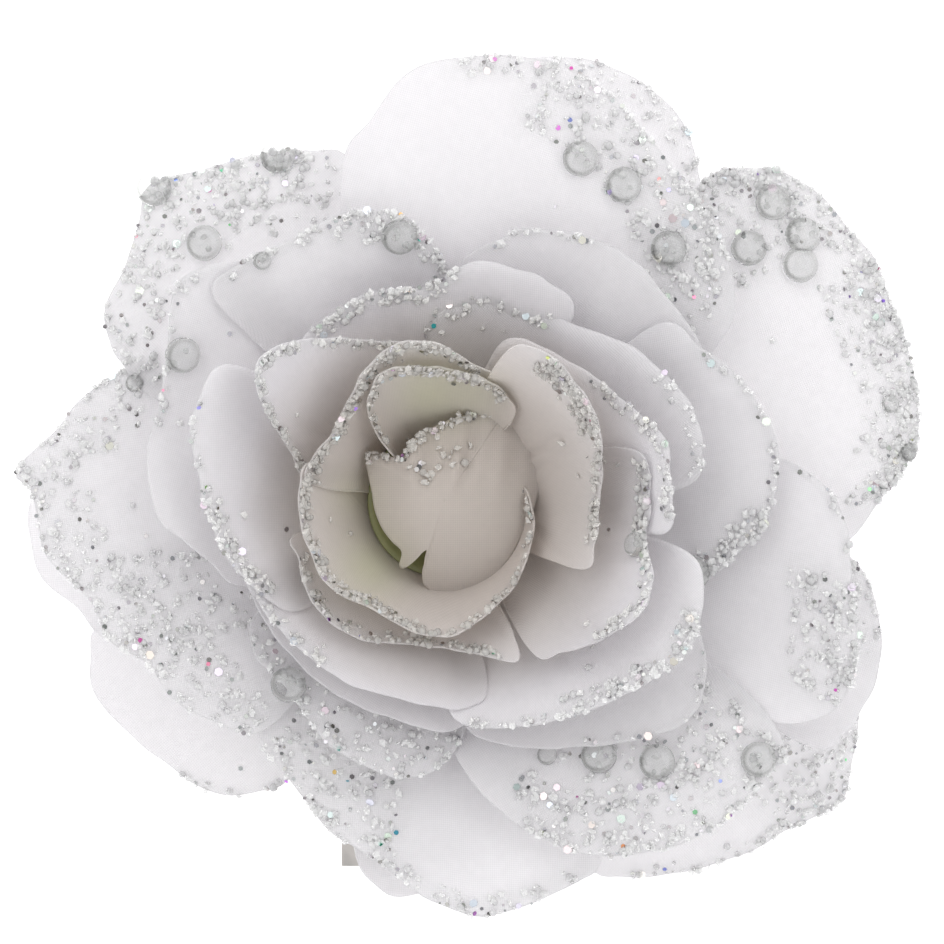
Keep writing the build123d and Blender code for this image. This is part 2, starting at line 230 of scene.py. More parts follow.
# ---------------------------------------------------------------- node trees
class Graph:
    """A node tree being filled in, one call for each node."""

    def __init__(self, tree: bpy.types.NodeTree) -> None:
        """Starts on a tree."""
        self.tree = tree

    def add(self, kind: str, settings: dict | None = None, **inputs) -> bpy.types.Node:
        """Adds a node, sets its options and fills its inputs with values or other nodes' outputs.

        Args:
            kind: The node's type name.
            settings: Options set on the node itself.
            **inputs: Input name, with underscores for spaces, or in0, in1 for a numbered input.

        Returns:
            The new node.
        """
        node = self.tree.nodes.new(kind)
        for key, value in (settings or {}).items():
            setattr(node, key, value)
        for key, value in inputs.items():
            numbered = key.startswith("in") and key[2:].isdigit()
            socket = node.inputs[int(key[2:])] if numbered else node.inputs[key.replace("_", " ")]
            if isinstance(value, bpy.types.NodeSocket):
                self.tree.links.new(value, socket)
            else:
                socket.default_value = value
        return node

    def math(self, operation: str, first, second=0.0, third=0.0) -> bpy.types.NodeSocket:
        """Adds a Math node and returns its output."""
        settings = {"operation": operation}
        return self.add("ShaderNodeMath", settings, in0=first, in1=second, in2=third).outputs[0]

    def blend(self, factor, first, second) -> bpy.types.NodeSocket:
        """Adds a colour Mix node and returns its output."""
        node = self.add("ShaderNodeMix", {"data_type": "RGBA"}, in0=factor, in6=first, in7=second)
        return node.outputs[2]

    def ramp(self, factor, stops: tuple) -> bpy.types.NodeSocket:
        """Adds a Color Ramp whose stops are (place, colour) pairs and returns its colour."""
        node = self.add("ShaderNodeValToRGB", in0=factor)
        elements = node.color_ramp.elements
        for number, (place, colour) in enumerate(stops):
            element = elements[number] if number < 2 else elements.new(place)
            element.position = place
            element.color = (*colour, 1.0)
        return node.outputs[0]

    def value_of(self, name: str) -> bpy.types.NodeSocket:
        """Reads a piece's own attribute as a number."""
        return self.add("ShaderNodeAttribute", {"attribute_name": name}).outputs["Fac"]

    def colour_of(self, name: str) -> bpy.types.NodeSocket:
        """Reads a piece's own attribute as a colour."""
        return self.add("ShaderNodeAttribute", {"attribute_name": name}).outputs["Color"]

    def place(self) -> bpy.types.NodeSocket:
        """Object coordinates."""
        return self.add("ShaderNodeTexCoord").outputs["Object"]


def new_group(name: str, inputs: tuple, outputs: tuple) -> tuple[bpy.types.NodeTree, Graph]:
    """Makes an empty shader node group.

    Args:
        name: Name of the group.
        inputs: Pairs of socket name and socket type.
        outputs: Pairs of socket name and socket type.

    Returns:
        The group and a graph that fills it.
    """
    tree = bpy.data.node_groups.new(name, "ShaderNodeTree")
    for direction, sockets in (("INPUT", inputs), ("OUTPUT", outputs)):
        for label, kind in sockets:
            tree.interface.new_socket(name=label, in_out=direction, socket_type=kind)
    return tree, Graph(tree)


def plain_weave_group() -> bpy.types.NodeTree:
    """Plain weave: threads are rounded ridges, and warp and weft take turns on top like a chessboard."""
    tree, graph = new_group(
        "plain_weave",
        (("Threads", "NodeSocketVector"), ("Pitch", "NodeSocketFloat")),
        (("Height", "NodeSocketFloat"), ("Slub", "NodeSocketFloat")),
    )
    source = graph.add("NodeGroupInput")
    parts = graph.add("ShaderNodeSeparateXYZ", in0=source.outputs["Threads"])
    warp = graph.math("DIVIDE", parts.outputs[0], source.outputs["Pitch"])
    weft = graph.math("DIVIDE", parts.outputs[1], source.outputs["Pitch"])
    warp_turn = graph.math("MULTIPLY", warp, math.pi)
    weft_turn = graph.math("MULTIPLY", weft, math.pi)
    warp_ridge = graph.math("ABSOLUTE", graph.math("SINE", warp_turn))
    weft_ridge = graph.math("ABSOLUTE", graph.math("SINE", weft_turn))
    turns = graph.math("MULTIPLY", graph.math("COSINE", warp_turn), graph.math("COSINE", weft_turn))
    on_top = graph.math("MULTIPLY_ADD", turns, 0.5, 0.5)
    from_warp = graph.math("MULTIPLY", warp_ridge, on_top)
    from_weft = graph.math("MULTIPLY", weft_ridge, graph.math("SUBTRACT", 1.0, on_top))
    height = graph.math("ADD", from_warp, from_weft)
    slub = graph.add("ShaderNodeTexNoise", Vector=source.outputs["Threads"], Scale=0.9, Detail=4.0)
    sink = graph.add("NodeGroupOutput", in0=height)
    tree.links.new(slub.outputs["Fac"], sink.inputs["Slub"])
    return tree


def mottle_group() -> bpy.types.NodeTree:
    """Uneven patches: fine noise on coarse noise, spread between two given values."""
    tree, graph = new_group(
        "mottle",
        (
            ("Place", "NodeSocketVector"), ("Scale", "NodeSocketFloat"),
            ("Low", "NodeSocketFloat"), ("High", "NodeSocketFloat"),
        ),
        (("Value", "NodeSocketFloat"), ("Grain", "NodeSocketFloat")),
    )
    source = graph.add("NodeGroupInput")
    place, scale = source.outputs["Place"], source.outputs["Scale"]
    coarse = graph.add("ShaderNodeTexNoise", Vector=place, Scale=scale, Detail=3.0)
    fine_scale = graph.math("MULTIPLY", scale, 9.0)
    fine = graph.add("ShaderNodeTexNoise", Vector=place, Scale=fine_scale, Detail=5.0)
    most = graph.math("MULTIPLY", coarse.outputs["Fac"], 0.65)
    mixed = graph.math("MULTIPLY_ADD", fine.outputs["Fac"], 0.35, most)
    spread = graph.add(
        "ShaderNodeMapRange", Value=mixed, From_Min=0.3, From_Max=0.7,
        To_Min=source.outputs["Low"], To_Max=source.outputs["High"],
    )
    sink = graph.add("NodeGroupOutput", in0=spread.outputs[0])
    tree.links.new(fine.outputs["Fac"], sink.inputs["Grain"])
    return tree


@dataclass(frozen=True)
class Finish:
    """What every finish has: a name and the way to start its material."""

    name: str

    def start(self) -> tuple[bpy.types.Material, Graph, bpy.types.Node]:
        """Makes an empty node material and its Principled shader.

        Returns:
            The material, its graph and the shader.
        """
        material = bpy.data.materials.new(self.name)
        material.use_nodes = True
        material.node_tree.nodes.clear()
        graph = Graph(material.node_tree)
        shader = graph.add("ShaderNodeBsdfPrincipled")
        output = graph.add("ShaderNodeOutputMaterial")
        graph.tree.links.new(shader.outputs[0], output.inputs[0])
        return material, graph, shader

    def mottle(self, graph: Graph, scale: float, low: float, high: float) -> bpy.types.Node:
        """Places the shared mottle group on Object coordinates and returns it."""
        node = graph.add("ShaderNodeGroup", {"node_tree": bpy.data.node_groups["mottle"]})
        graph.tree.links.new(graph.place(), node.inputs["Place"])
        node.inputs["Scale"].default_value = scale
        node.inputs["Low"].default_value = low
        node.inputs["High"].default_value = high
        return node

    def bump(self, graph: Graph, shader: bpy.types.Node, height, strength: float, distance: float) -> None:
        """Feeds a height through a Bump node to the shader's normal."""
        node = graph.add("ShaderNodeBump", Strength=strength, Distance=distance, Height=height)
        graph.tree.links.new(node.outputs[0], shader.inputs["Normal"])

    def roughen(self, graph: Graph, shader: bpy.types.Node, value, spread: float, base: float) -> None:
        """Sets the shader's roughness to base plus spread times a value."""
        rough = graph.math("MULTIPLY_ADD", value, spread, base)
        graph.tree.links.new(rough, shader.inputs["Roughness"])


@dataclass(frozen=True)
class WhitePolyester(Finish):
    """Thin woven polyester: light passes through it, and painted warm shade darkens the heart of the
    flower.
    """

    thread_pitch: float = 0.26
    see_through: float = 0.48
    cloth_to_shade_tones: tuple = (
        (0.0, (0.905, 0.895, 0.905)),
        (0.35, (0.865, 0.85, 0.865)),
        (0.7, (0.82, 0.785, 0.765)),
        (1.0, (0.75, 0.69, 0.64)),
    )
    # colour of the painted green cast, light from the plastic seen through the cloth
    green: tuple = (0.74, 0.74, 0.54)
    glue_grey: tuple = (0.80, 0.80, 0.80)

    def material(self) -> bpy.types.Material:
        """Builds the cloth material from the piece's thread map, its painted heart shade, its painted green
        cast and its glued values.
        """
        material, graph, shader = self.start()
        threads = graph.add("ShaderNodeUVMap", {"uv_map": "threads"}).outputs[0]
        group = {"node_tree": bpy.data.node_groups["plain_weave"]}
        weave = graph.add("ShaderNodeGroup", group, Threads=threads)
        weave.inputs["Pitch"].default_value = self.thread_pitch
        # painted shade: the cloth's white turns grey and then warm beige towards the heart of the flower
        painted_heart_shade = graph.ramp(graph.value_of("heart"), self.cloth_to_shade_tones)
        # painted green cast: the look of the green plastic seen through the cloth, painted on it
        painted_shade_and_green = graph.blend(graph.value_of("green"), painted_heart_shade, (*self.green, 1.0))
        glued = graph.value_of("glued")
        dusted = graph.blend(graph.math("MULTIPLY", glued, 0.2), painted_shade_and_green, (*self.glue_grey, 1.0))
        # painted shade: the weave's height also darkens the colour between the threads
        shade = graph.math("MULTIPLY_ADD", weave.outputs["Height"], 0.13, 0.90)
        slub = graph.math("MULTIPLY_ADD", weave.outputs["Slub"], 0.06, 0.97)
        level = graph.math("MULTIPLY", shade, slub)
        scaled = graph.add("ShaderNodeVectorMath", {"operation": "SCALE"}, in0=dusted, Scale=level)
        colour = scaled.outputs[0]
        graph.tree.links.new(colour, shader.inputs["Base Color"])
        shader.inputs["Sheen Weight"].default_value = 0.25
        shader.inputs["Sheen Roughness"].default_value = 0.4
        shader.inputs["Specular IOR Level"].default_value = 0.3
        rough = graph.math("SUBTRACT", 0.68, graph.math("MULTIPLY", glued, 0.3))
        graph.tree.links.new(rough, shader.inputs["Roughness"])
        crust = graph.add("ShaderNodeTexNoise", Vector=threads, Scale=2.2, Detail=3.0).outputs["Fac"]
        crusted = graph.math("MULTIPLY", crust, glued)
        height = graph.math("MULTIPLY_ADD", crusted, 3.0, weave.outputs["Height"])
        bump = graph.add("ShaderNodeBump", Strength=0.5, Distance=0.00006, Height=height)
        graph.tree.links.new(bump.outputs[0], shader.inputs["Normal"])
        through = graph.add("ShaderNodeBsdfTranslucent", Color=colour, Normal=bump.outputs[0])
        mixed = graph.add(
            "ShaderNodeMixShader", in0=self.see_through, in1=shader.outputs[0], in2=through.outputs[0]
        )
        output = next(n for n in graph.tree.nodes if n.type == "OUTPUT_MATERIAL")
        graph.tree.links.new(mixed.outputs[0], output.inputs[0])
        return material


@dataclass(frozen=True)
class Mottled(Finish):
    """A dull material in two mixed tones with a fine grain: felt, moulded plastic or set glue.

    roughness holds its lowest value and its spread; grain holds a bump's strength and depth.
    """

    scale: float
    dark: tuple
    light: tuple
    roughness: tuple
    grain: tuple
    sheen: float = 0.0
    clearness: float = 0.0

    def material(self) -> bpy.types.Material:
        """Builds the material."""
        material, graph, shader = self.start()
        patch = self.mottle(graph, self.scale, 0.0, 1.0)
        colour = graph.blend(patch.outputs["Value"], (*self.dark, 1.0), (*self.light, 1.0))
        graph.tree.links.new(colour, shader.inputs["Base Color"])
        self.roughen(graph, shader, patch.outputs["Value"], self.roughness[1], self.roughness[0])
        shader.inputs["Sheen Weight"].default_value = self.sheen
        shader.inputs["Transmission Weight"].default_value = self.clearness
        self.bump(graph, shader, patch.outputs["Grain"], *self.grain)
        return material


WHITE_FELT = Mottled(
    "white_felt", 220.0, (0.80, 0.79, 0.77), (0.92, 0.92, 0.90), (0.85, 0.1), (0.7, 0.0003), sheen=0.5
)
OLIVE_PLASTIC = Mottled(
    "olive_plastic", 90.0, (0.17, 0.18, 0.07), (0.25, 0.25, 0.11), (0.38, 0.15), (0.2, 0.0001)
)
SET_GLUE = Mottled(
    "set_glue", 300.0, (0.86, 0.85, 0.78), (0.93, 0.92, 0.88), (0.2, 0.2), (0.3, 0.0002), clearness=0.5
)


@dataclass(frozen=True)
class NickelSteel(Finish):
    """Nickel-plated spring steel: a drawn grain along the clip, and dull handling marks."""

    grain_along: tuple = (900.0, 60.0, 900.0)
    dull: float = 0.42
    bright: float = 0.24

    def material(self) -> bpy.types.Material:
        """Builds the metal material."""
        material, graph, shader = self.start()
        stretched = graph.add("ShaderNodeMapping", Vector=graph.place(), Scale=self.grain_along)
        streaks = graph.add("ShaderNodeTexNoise", Vector=stretched.outputs[0], Scale=1.0, Detail=4.0)
        drawn = streaks.outputs["Fac"]
        patch = self.mottle(graph, 160.0, self.bright, self.dull)
        self.roughen(graph, shader, drawn, 0.12, patch.outputs["Value"])
        colour = graph.blend(patch.outputs["Value"], (0.83, 0.80, 0.76, 1), (0.62, 0.59, 0.55, 1))
        graph.tree.links.new(colour, shader.inputs["Base Color"])
        shader.inputs["Metallic"].default_value = 1.0
        self.bump(graph, shader, drawn, 0.15, 0.00005)
        return material


@dataclass(frozen=True)
class ClearGlass(Finish):
    """Clear acrylic or crystal with a faint tint, cloudy patches where frost is above 0, and painted
    shade, a darker colour, where the piece's own shade value is above 0."""

    tint: tuple = (0.97, 0.98, 0.98)
    index: float = 1.49
    frost: float = 0.0
    clearness: float = 1.0
    # colour of the painted shade
    shade: tuple = (0.42, 0.43, 0.41)

    def material(self) -> bpy.types.Material:
        """Builds the clear material."""
        material, graph, shader = self.start()
        patch = self.mottle(graph, 700.0, 0.0, self.frost)
        cloud = tuple(0.9 * part for part in self.tint)
        colour = graph.blend(patch.outputs["Value"], (*self.tint, 1.0), (*cloud, 1.0))
        # painted shade where the piece's own shade value is above 0
        colour = graph.blend(graph.value_of("shade"), colour, (*self.shade, 1.0))
        graph.tree.links.new(colour, shader.inputs["Base Color"])
        self.roughen(graph, shader, patch.outputs["Value"], 0.4, 0.02)
        shader.inputs["IOR"].default_value = self.index
        shader.inputs["Transmission Weight"].default_value = self.clearness
        return material


@dataclass(frozen=True)
class FoilGlitter(Finish):
    """Flakes of metallised film, each with a colour and a dullness of its own."""

    metal: float = 1.0
    coat: float = 0.4

    def material(self) -> bpy.types.Material:
        """Builds the flake material from each flake's own colour."""
        material, graph, shader = self.start()
        own = graph.colour_of("flake")
        patch = self.mottle(graph, 1500.0, 0.08, 0.3)
        graph.tree.links.new(own, shader.inputs["Base Color"])
        graph.tree.links.new(patch.outputs["Value"], shader.inputs["Roughness"])
        shader.inputs["Metallic"].default_value = self.metal
        shader.inputs["Coat Weight"].default_value = self.coat
        return material


# ---------------------------------------------------------------- petals
@dataclass(frozen=True)
class Band:
    """Stretch of a petal's rim with glitter: bearings in degrees, distances in from the rim, pieces."""

    start: float
    end: float
    inner: float
    outer: float
    pieces: int


@dataclass(frozen=True)
class Petal:
    """One petal: the outline of its rim seen from above, anticlockwise, and how it is formed.

    rim holds (x, y) or (x, y, lift) in millimetres; lift raises the rim above the layer's curve.
    """

    name: str
    rim: tuple
    rests: bool = False
    lift: float = 0.0
    ruffle: float = 0.45
    waves: float = 2.5
    lip: float = 0.0
    crease: float = 0.35
    spread: float = 0.55
    bands: tuple = ()

    def rim_table(self) -> np.ndarray:
        """Divides the rim evenly.

        Returns:
            Array of bearing (radians, unwrapped), reach and lift at each point.
        """
        corners = np.array([(*p, 0.0)[:3] for p in self.rim])
        line = smooth_line(corners, RIM_POINTS)
        bearing = np.unwrap(np.arctan2(line[:, 1], line[:, 0]))
        return np.stack([bearing, np.hypot(line[:, 0], line[:, 1]), line[:, 2] + self.lift], -1)


@dataclass(frozen=True)
class FabricLayer:
    """A die-cut layer: a ring round the hub's peg and petals that follow one arc outwards.

    The arc leaves the ring at base_slope and its slope turns evenly to rim_slope over arc_length.
    """

    name: str
    cad_node: str
    hole_radius: float
    base_radius: float
    ledge: float
    base_slope: float
    rim_slope: float
    arc_length: float
    tilt: float
    petals: tuple
    rows: int = 44
    columns: int = 110
    rng_seed: int = 1
    tilt_share: float = 0.8     # share of the petal over which the tilt sets in
    opening: float = 0.85       # power by which a petal widens from its base
    creases: int = 5
    unevenness: float = 0.3
    uneven_lengths: tuple = (7.0, 22.0)
    fray_depth: float = 0.05
    fray_counts: tuple = (61, 37, 97)
    lip_width: float = 2.2
    lip_droop: float = 0.6
    rest_height: float = 0.5    # of a resting petal's rim
    lowest: float = 0.3
    fewest_glued: int = 12      # a band with fewer pieces has no glue that shows
    glue_fade: float = 4.0      # degrees beside a band

    @property
    def turn(self) -> float:
        """Change of slope for each millimetre along the arc, in radians."""
        return math.radians(self.rim_slope - self.base_slope) / self.arc_length

    def length_to(self, reach: np.ndarray) -> np.ndarray:
        """Distance along the arc at which it reaches a given radius.

        The sine of the slope grows evenly with the radius, so the slope is its arc sine.
        """
        base = math.radians(self.base_slope)
        sine = math.sin(base) + self.turn * (reach - self.base_radius)
        return (np.arcsin(np.clip(sine, -0.99, 0.99)) - base) / self.turn

    def surface(self, petal: Petal, u: np.ndarray, v: np.ndarray) -> np.ndarray:
        """Points of a petal.

        u runs along the rim from 0 to 1, v from the base at 0 to the rim at 1. The point lies at
        v times the arc length that reaches the rim, turned from the narrow base to the rim's own
        bearing, and is then moved along the surface's normal by the layer's tilt, ruffles that
        grow outwards, creases that run outwards, and gentle unevenness. The rim may flare into a
        lip, and a resting petal bends down to the table with the fourth power of the distance.

        Args:
            petal: The petal.
            u: Array of places along the rim.
            v: Array of places from base to rim, of the same shape.

        Returns:
            Array of points in millimetres about the hub's axis.
        """
        rng = np.random.default_rng(self.rng_seed * 100 + sum(ord(c) for c in petal.name))
        table = petal.rim_table()
        share = np.linspace(0, 1, len(table))
        rim_bearing, reach, lift = (np.interp(u, share, table[:, k]) for k in range(3))
        fray = rng.uniform(0, 2 * math.pi, 3)
        fraying = sum(np.sin(count * u + start) for count, start in zip(self.fray_counts, fray))
        reach = reach + self.fray_depth * fraying
        length = self.length_to(reach)
        longest = float(self.length_to(table[:, 1]).max())
        base = math.radians(self.base_slope)
        distance = v * length
        slope = base + self.turn * distance
        radius = self.base_radius + (np.sin(slope) - math.sin(base)) / self.turn
        height = self.ledge + (math.cos(base) - np.cos(slope)) / self.turn

        middle = (table[:, 0].min() + table[:, 0].max()) / 2
        half_span = (table[:, 0].max() - table[:, 0].min()) / 2
        base_bearing = middle + (2 * u - 1) * half_span * petal.spread
        opened = np.sin(np.pi / 2 * np.clip(v, 0, 1) ** self.opening)
        bearing = base_bearing + (rim_bearing - base_bearing) * opened

        outward = distance / longest
        offset = self.tilt * (2 * u - 1) * eased(v / self.tilt_share)
        ruffle_start = rng.uniform(0, 2 * math.pi)
        offset += petal.ruffle * np.sin(2 * math.pi * petal.waves * u + ruffle_start) * outward ** 3
        centres = rng.uniform(0.12, 0.88, self.creases)
        widths = rng.uniform(0.018, 0.05, self.creases)
        leans = rng.uniform(-0.12, 0.12, self.creases)
        depths = rng.uniform(0.4, 1.0, self.creases) * petal.crease
        lines = u[..., None] - centres - leans * (1 - v[..., None])
        folds = (depths * np.exp(-((lines / widths) ** 2))).sum(-1)
        offset -= folds * np.sin(np.pi * np.clip(v, 0, 1) ** 0.8)
        across = (radius * np.cos(bearing), radius * np.sin(bearing))
        offset += self.unevenness * ripples(*across, rng, *self.uneven_lengths) * outward

        radius = radius - offset * np.sin(slope)
        height = height + offset * np.cos(slope) + lift * v ** 3
        if petal.rests:
            rim_slope = base + self.turn * longest
            tip = self.ledge + (math.cos(base) - math.cos(rim_slope)) / self.turn
            height = height + (self.rest_height - tip) * outward ** 4
            height = np.maximum(height, self.lowest)
        inset = length * (1 - v)
        flare = np.exp(-inset / self.lip_width)
        radius = (radius + petal.lip * flare ** 2) * (1 - height / VIEW_HEIGHT)
        height = height - self.lip_droop * petal.lip * flare ** 3
        return np.stack([radius * np.cos(bearing), radius * np.sin(bearing), height], -1)

    def thread_place(self, petal: Petal, u: np.ndarray, v: np.ndarray) -> np.ndarray:
        """Place of each point on the flat cloth, in millimetres along its two sets of threads."""
        table = petal.rim_table()
        share = np.linspace(0, 1, len(table))
        bearing = np.interp(u, share, table[:, 0]) - table[:, 0].mean()
        distance = self.base_radius + v * self.length_to(np.interp(u, share, table[:, 1]))
        return np.stack([distance * np.cos(bearing), distance * np.sin(bearing)], -1)

    def glued(self, petal: Petal, u: np.ndarray, v: np.ndarray) -> np.ndarray:
        """How much glue each point carries: 1 at the rim of a glitter band, fading inwards."""
        table = petal.rim_table()
        share = np.linspace(0, 1, len(table))
        bearing = np.degrees(np.interp(u, share, table[:, 0]))
        inset = self.length_to(np.interp(u, share, table[:, 1])) * (1 - v)
        mask = np.zeros_like(u)
        for band in petal.bands:
            if band.pieces < self.fewest_glued:
                continue
            middle = (band.start + band.end) / 2
            away = np.abs((bearing - middle + 180) % 360 - 180) - (band.end - band.start) / 2
            beside = 1 - eased(away / self.glue_fade)
            inside = 1 - eased((inset - band.outer * 0.7) / (band.outer * 0.5 + 0.2))
            mask = np.maximum(mask, beside * inside)
        return mask

    def flat_size(self, lobe: np.ndarray) -> tuple[float, float]:
        """Width and length of the cut cloth laid flat.

        Args:
            lobe: Outline points of any further lobe of the cut, in millimetres.

        Returns:
            Sides in metres of the box round the petals' flat outlines and the lobe.
        """
        tables = [petal.rim_table() for petal in self.petals]
        reach = np.concatenate([self.base_radius + self.length_to(t[:, 1]) for t in tables])
        bearing = np.concatenate([t[:, 0] for t in tables])
        petals = np.stack([reach * np.cos(bearing), reach * np.sin(bearing)], -1)
        width, length = np.ptp(np.concatenate([petals, lobe]), axis=0)
        return float(width) * MM, float(length) * MM

    def petal_grid(self) -> tuple[np.ndarray, np.ndarray]:
        """Places u and v of a petal's mesh, with rows closer together towards the rim."""
        along = 1 - (1 - np.linspace(0, 1, self.rows)) ** 1.25
        return np.meshgrid(np.linspace(0, 1, self.columns), along)


@dataclass(frozen=True)
class HeartFlap:
    """The innermost petal, folded over the core: a crowned sheet inside a closed outline.

    outline holds (bearing in degrees, reach, height).
    """

    outline: tuple
    crown: float
    even_reach: float = 10.0
    even_north: float = -0.6
    even_east: float = 1.2
    rows: int = 40
    columns: int = 200

    def grid(self) -> tuple[np.ndarray, np.ndarray]:
        """Places u and v of the flap's mesh, which starts just beside the axis."""
        return np.meshgrid(np.linspace(0, 1, self.columns), np.linspace(0.002, 1, self.rows))

    def surface(self, u: np.ndarray, v: np.ndarray) -> np.ndarray:
        """Points of the flap: outwards from the axis to the outline, the height passing from the
        crown to the outline's own with the power 1.7 of the share of an even, slightly off-centre
        reach, with folds towards the far side."""
        held = np.array(self.outline)
        bearing = np.radians(held[:, 0])
        corners = np.stack([held[:, 1] * np.cos(bearing), held[:, 1] * np.sin(bearing), held[:, 2]], -1)
        line = smooth_line(corners, RIM_POINTS, closed=True)
        share = np.linspace(0, 1, len(line))
        x, y, rim = (np.interp(u % 1.0, share, line[:, k]) for k in range(3))
        px, py = x * v, y * v
        turn = np.arctan2(y, x)
        even = self.even_reach + self.even_north * np.sin(turn) + self.even_east * np.cos(turn)
        whole = np.hypot(x, y) / even
        height = self.crown + (rim - self.crown) * (v * whole) ** 1.7
        north = np.exp(-((px - 1.0) / 6.5) ** 2 - ((py - 6.0) / 4.5) ** 2)
        folds = 0.35 * np.sin(px * 1.15 + 0.5) + 0.22 * np.sin(px * 2.3 - py * 0.4)
        swell = 0.5 * np.exp(-((px + 3.5) / 3.0) ** 2 - ((py + 1.0) / 6.0) ** 2)
        return np.stack([px, py, height + folds * north + swell], -1)


class Fabrics(Enum):
    """Names of the values that the cloth's material reads."""

    HEART = "heart"
    GREEN = "green"
    GLUED = "glued"


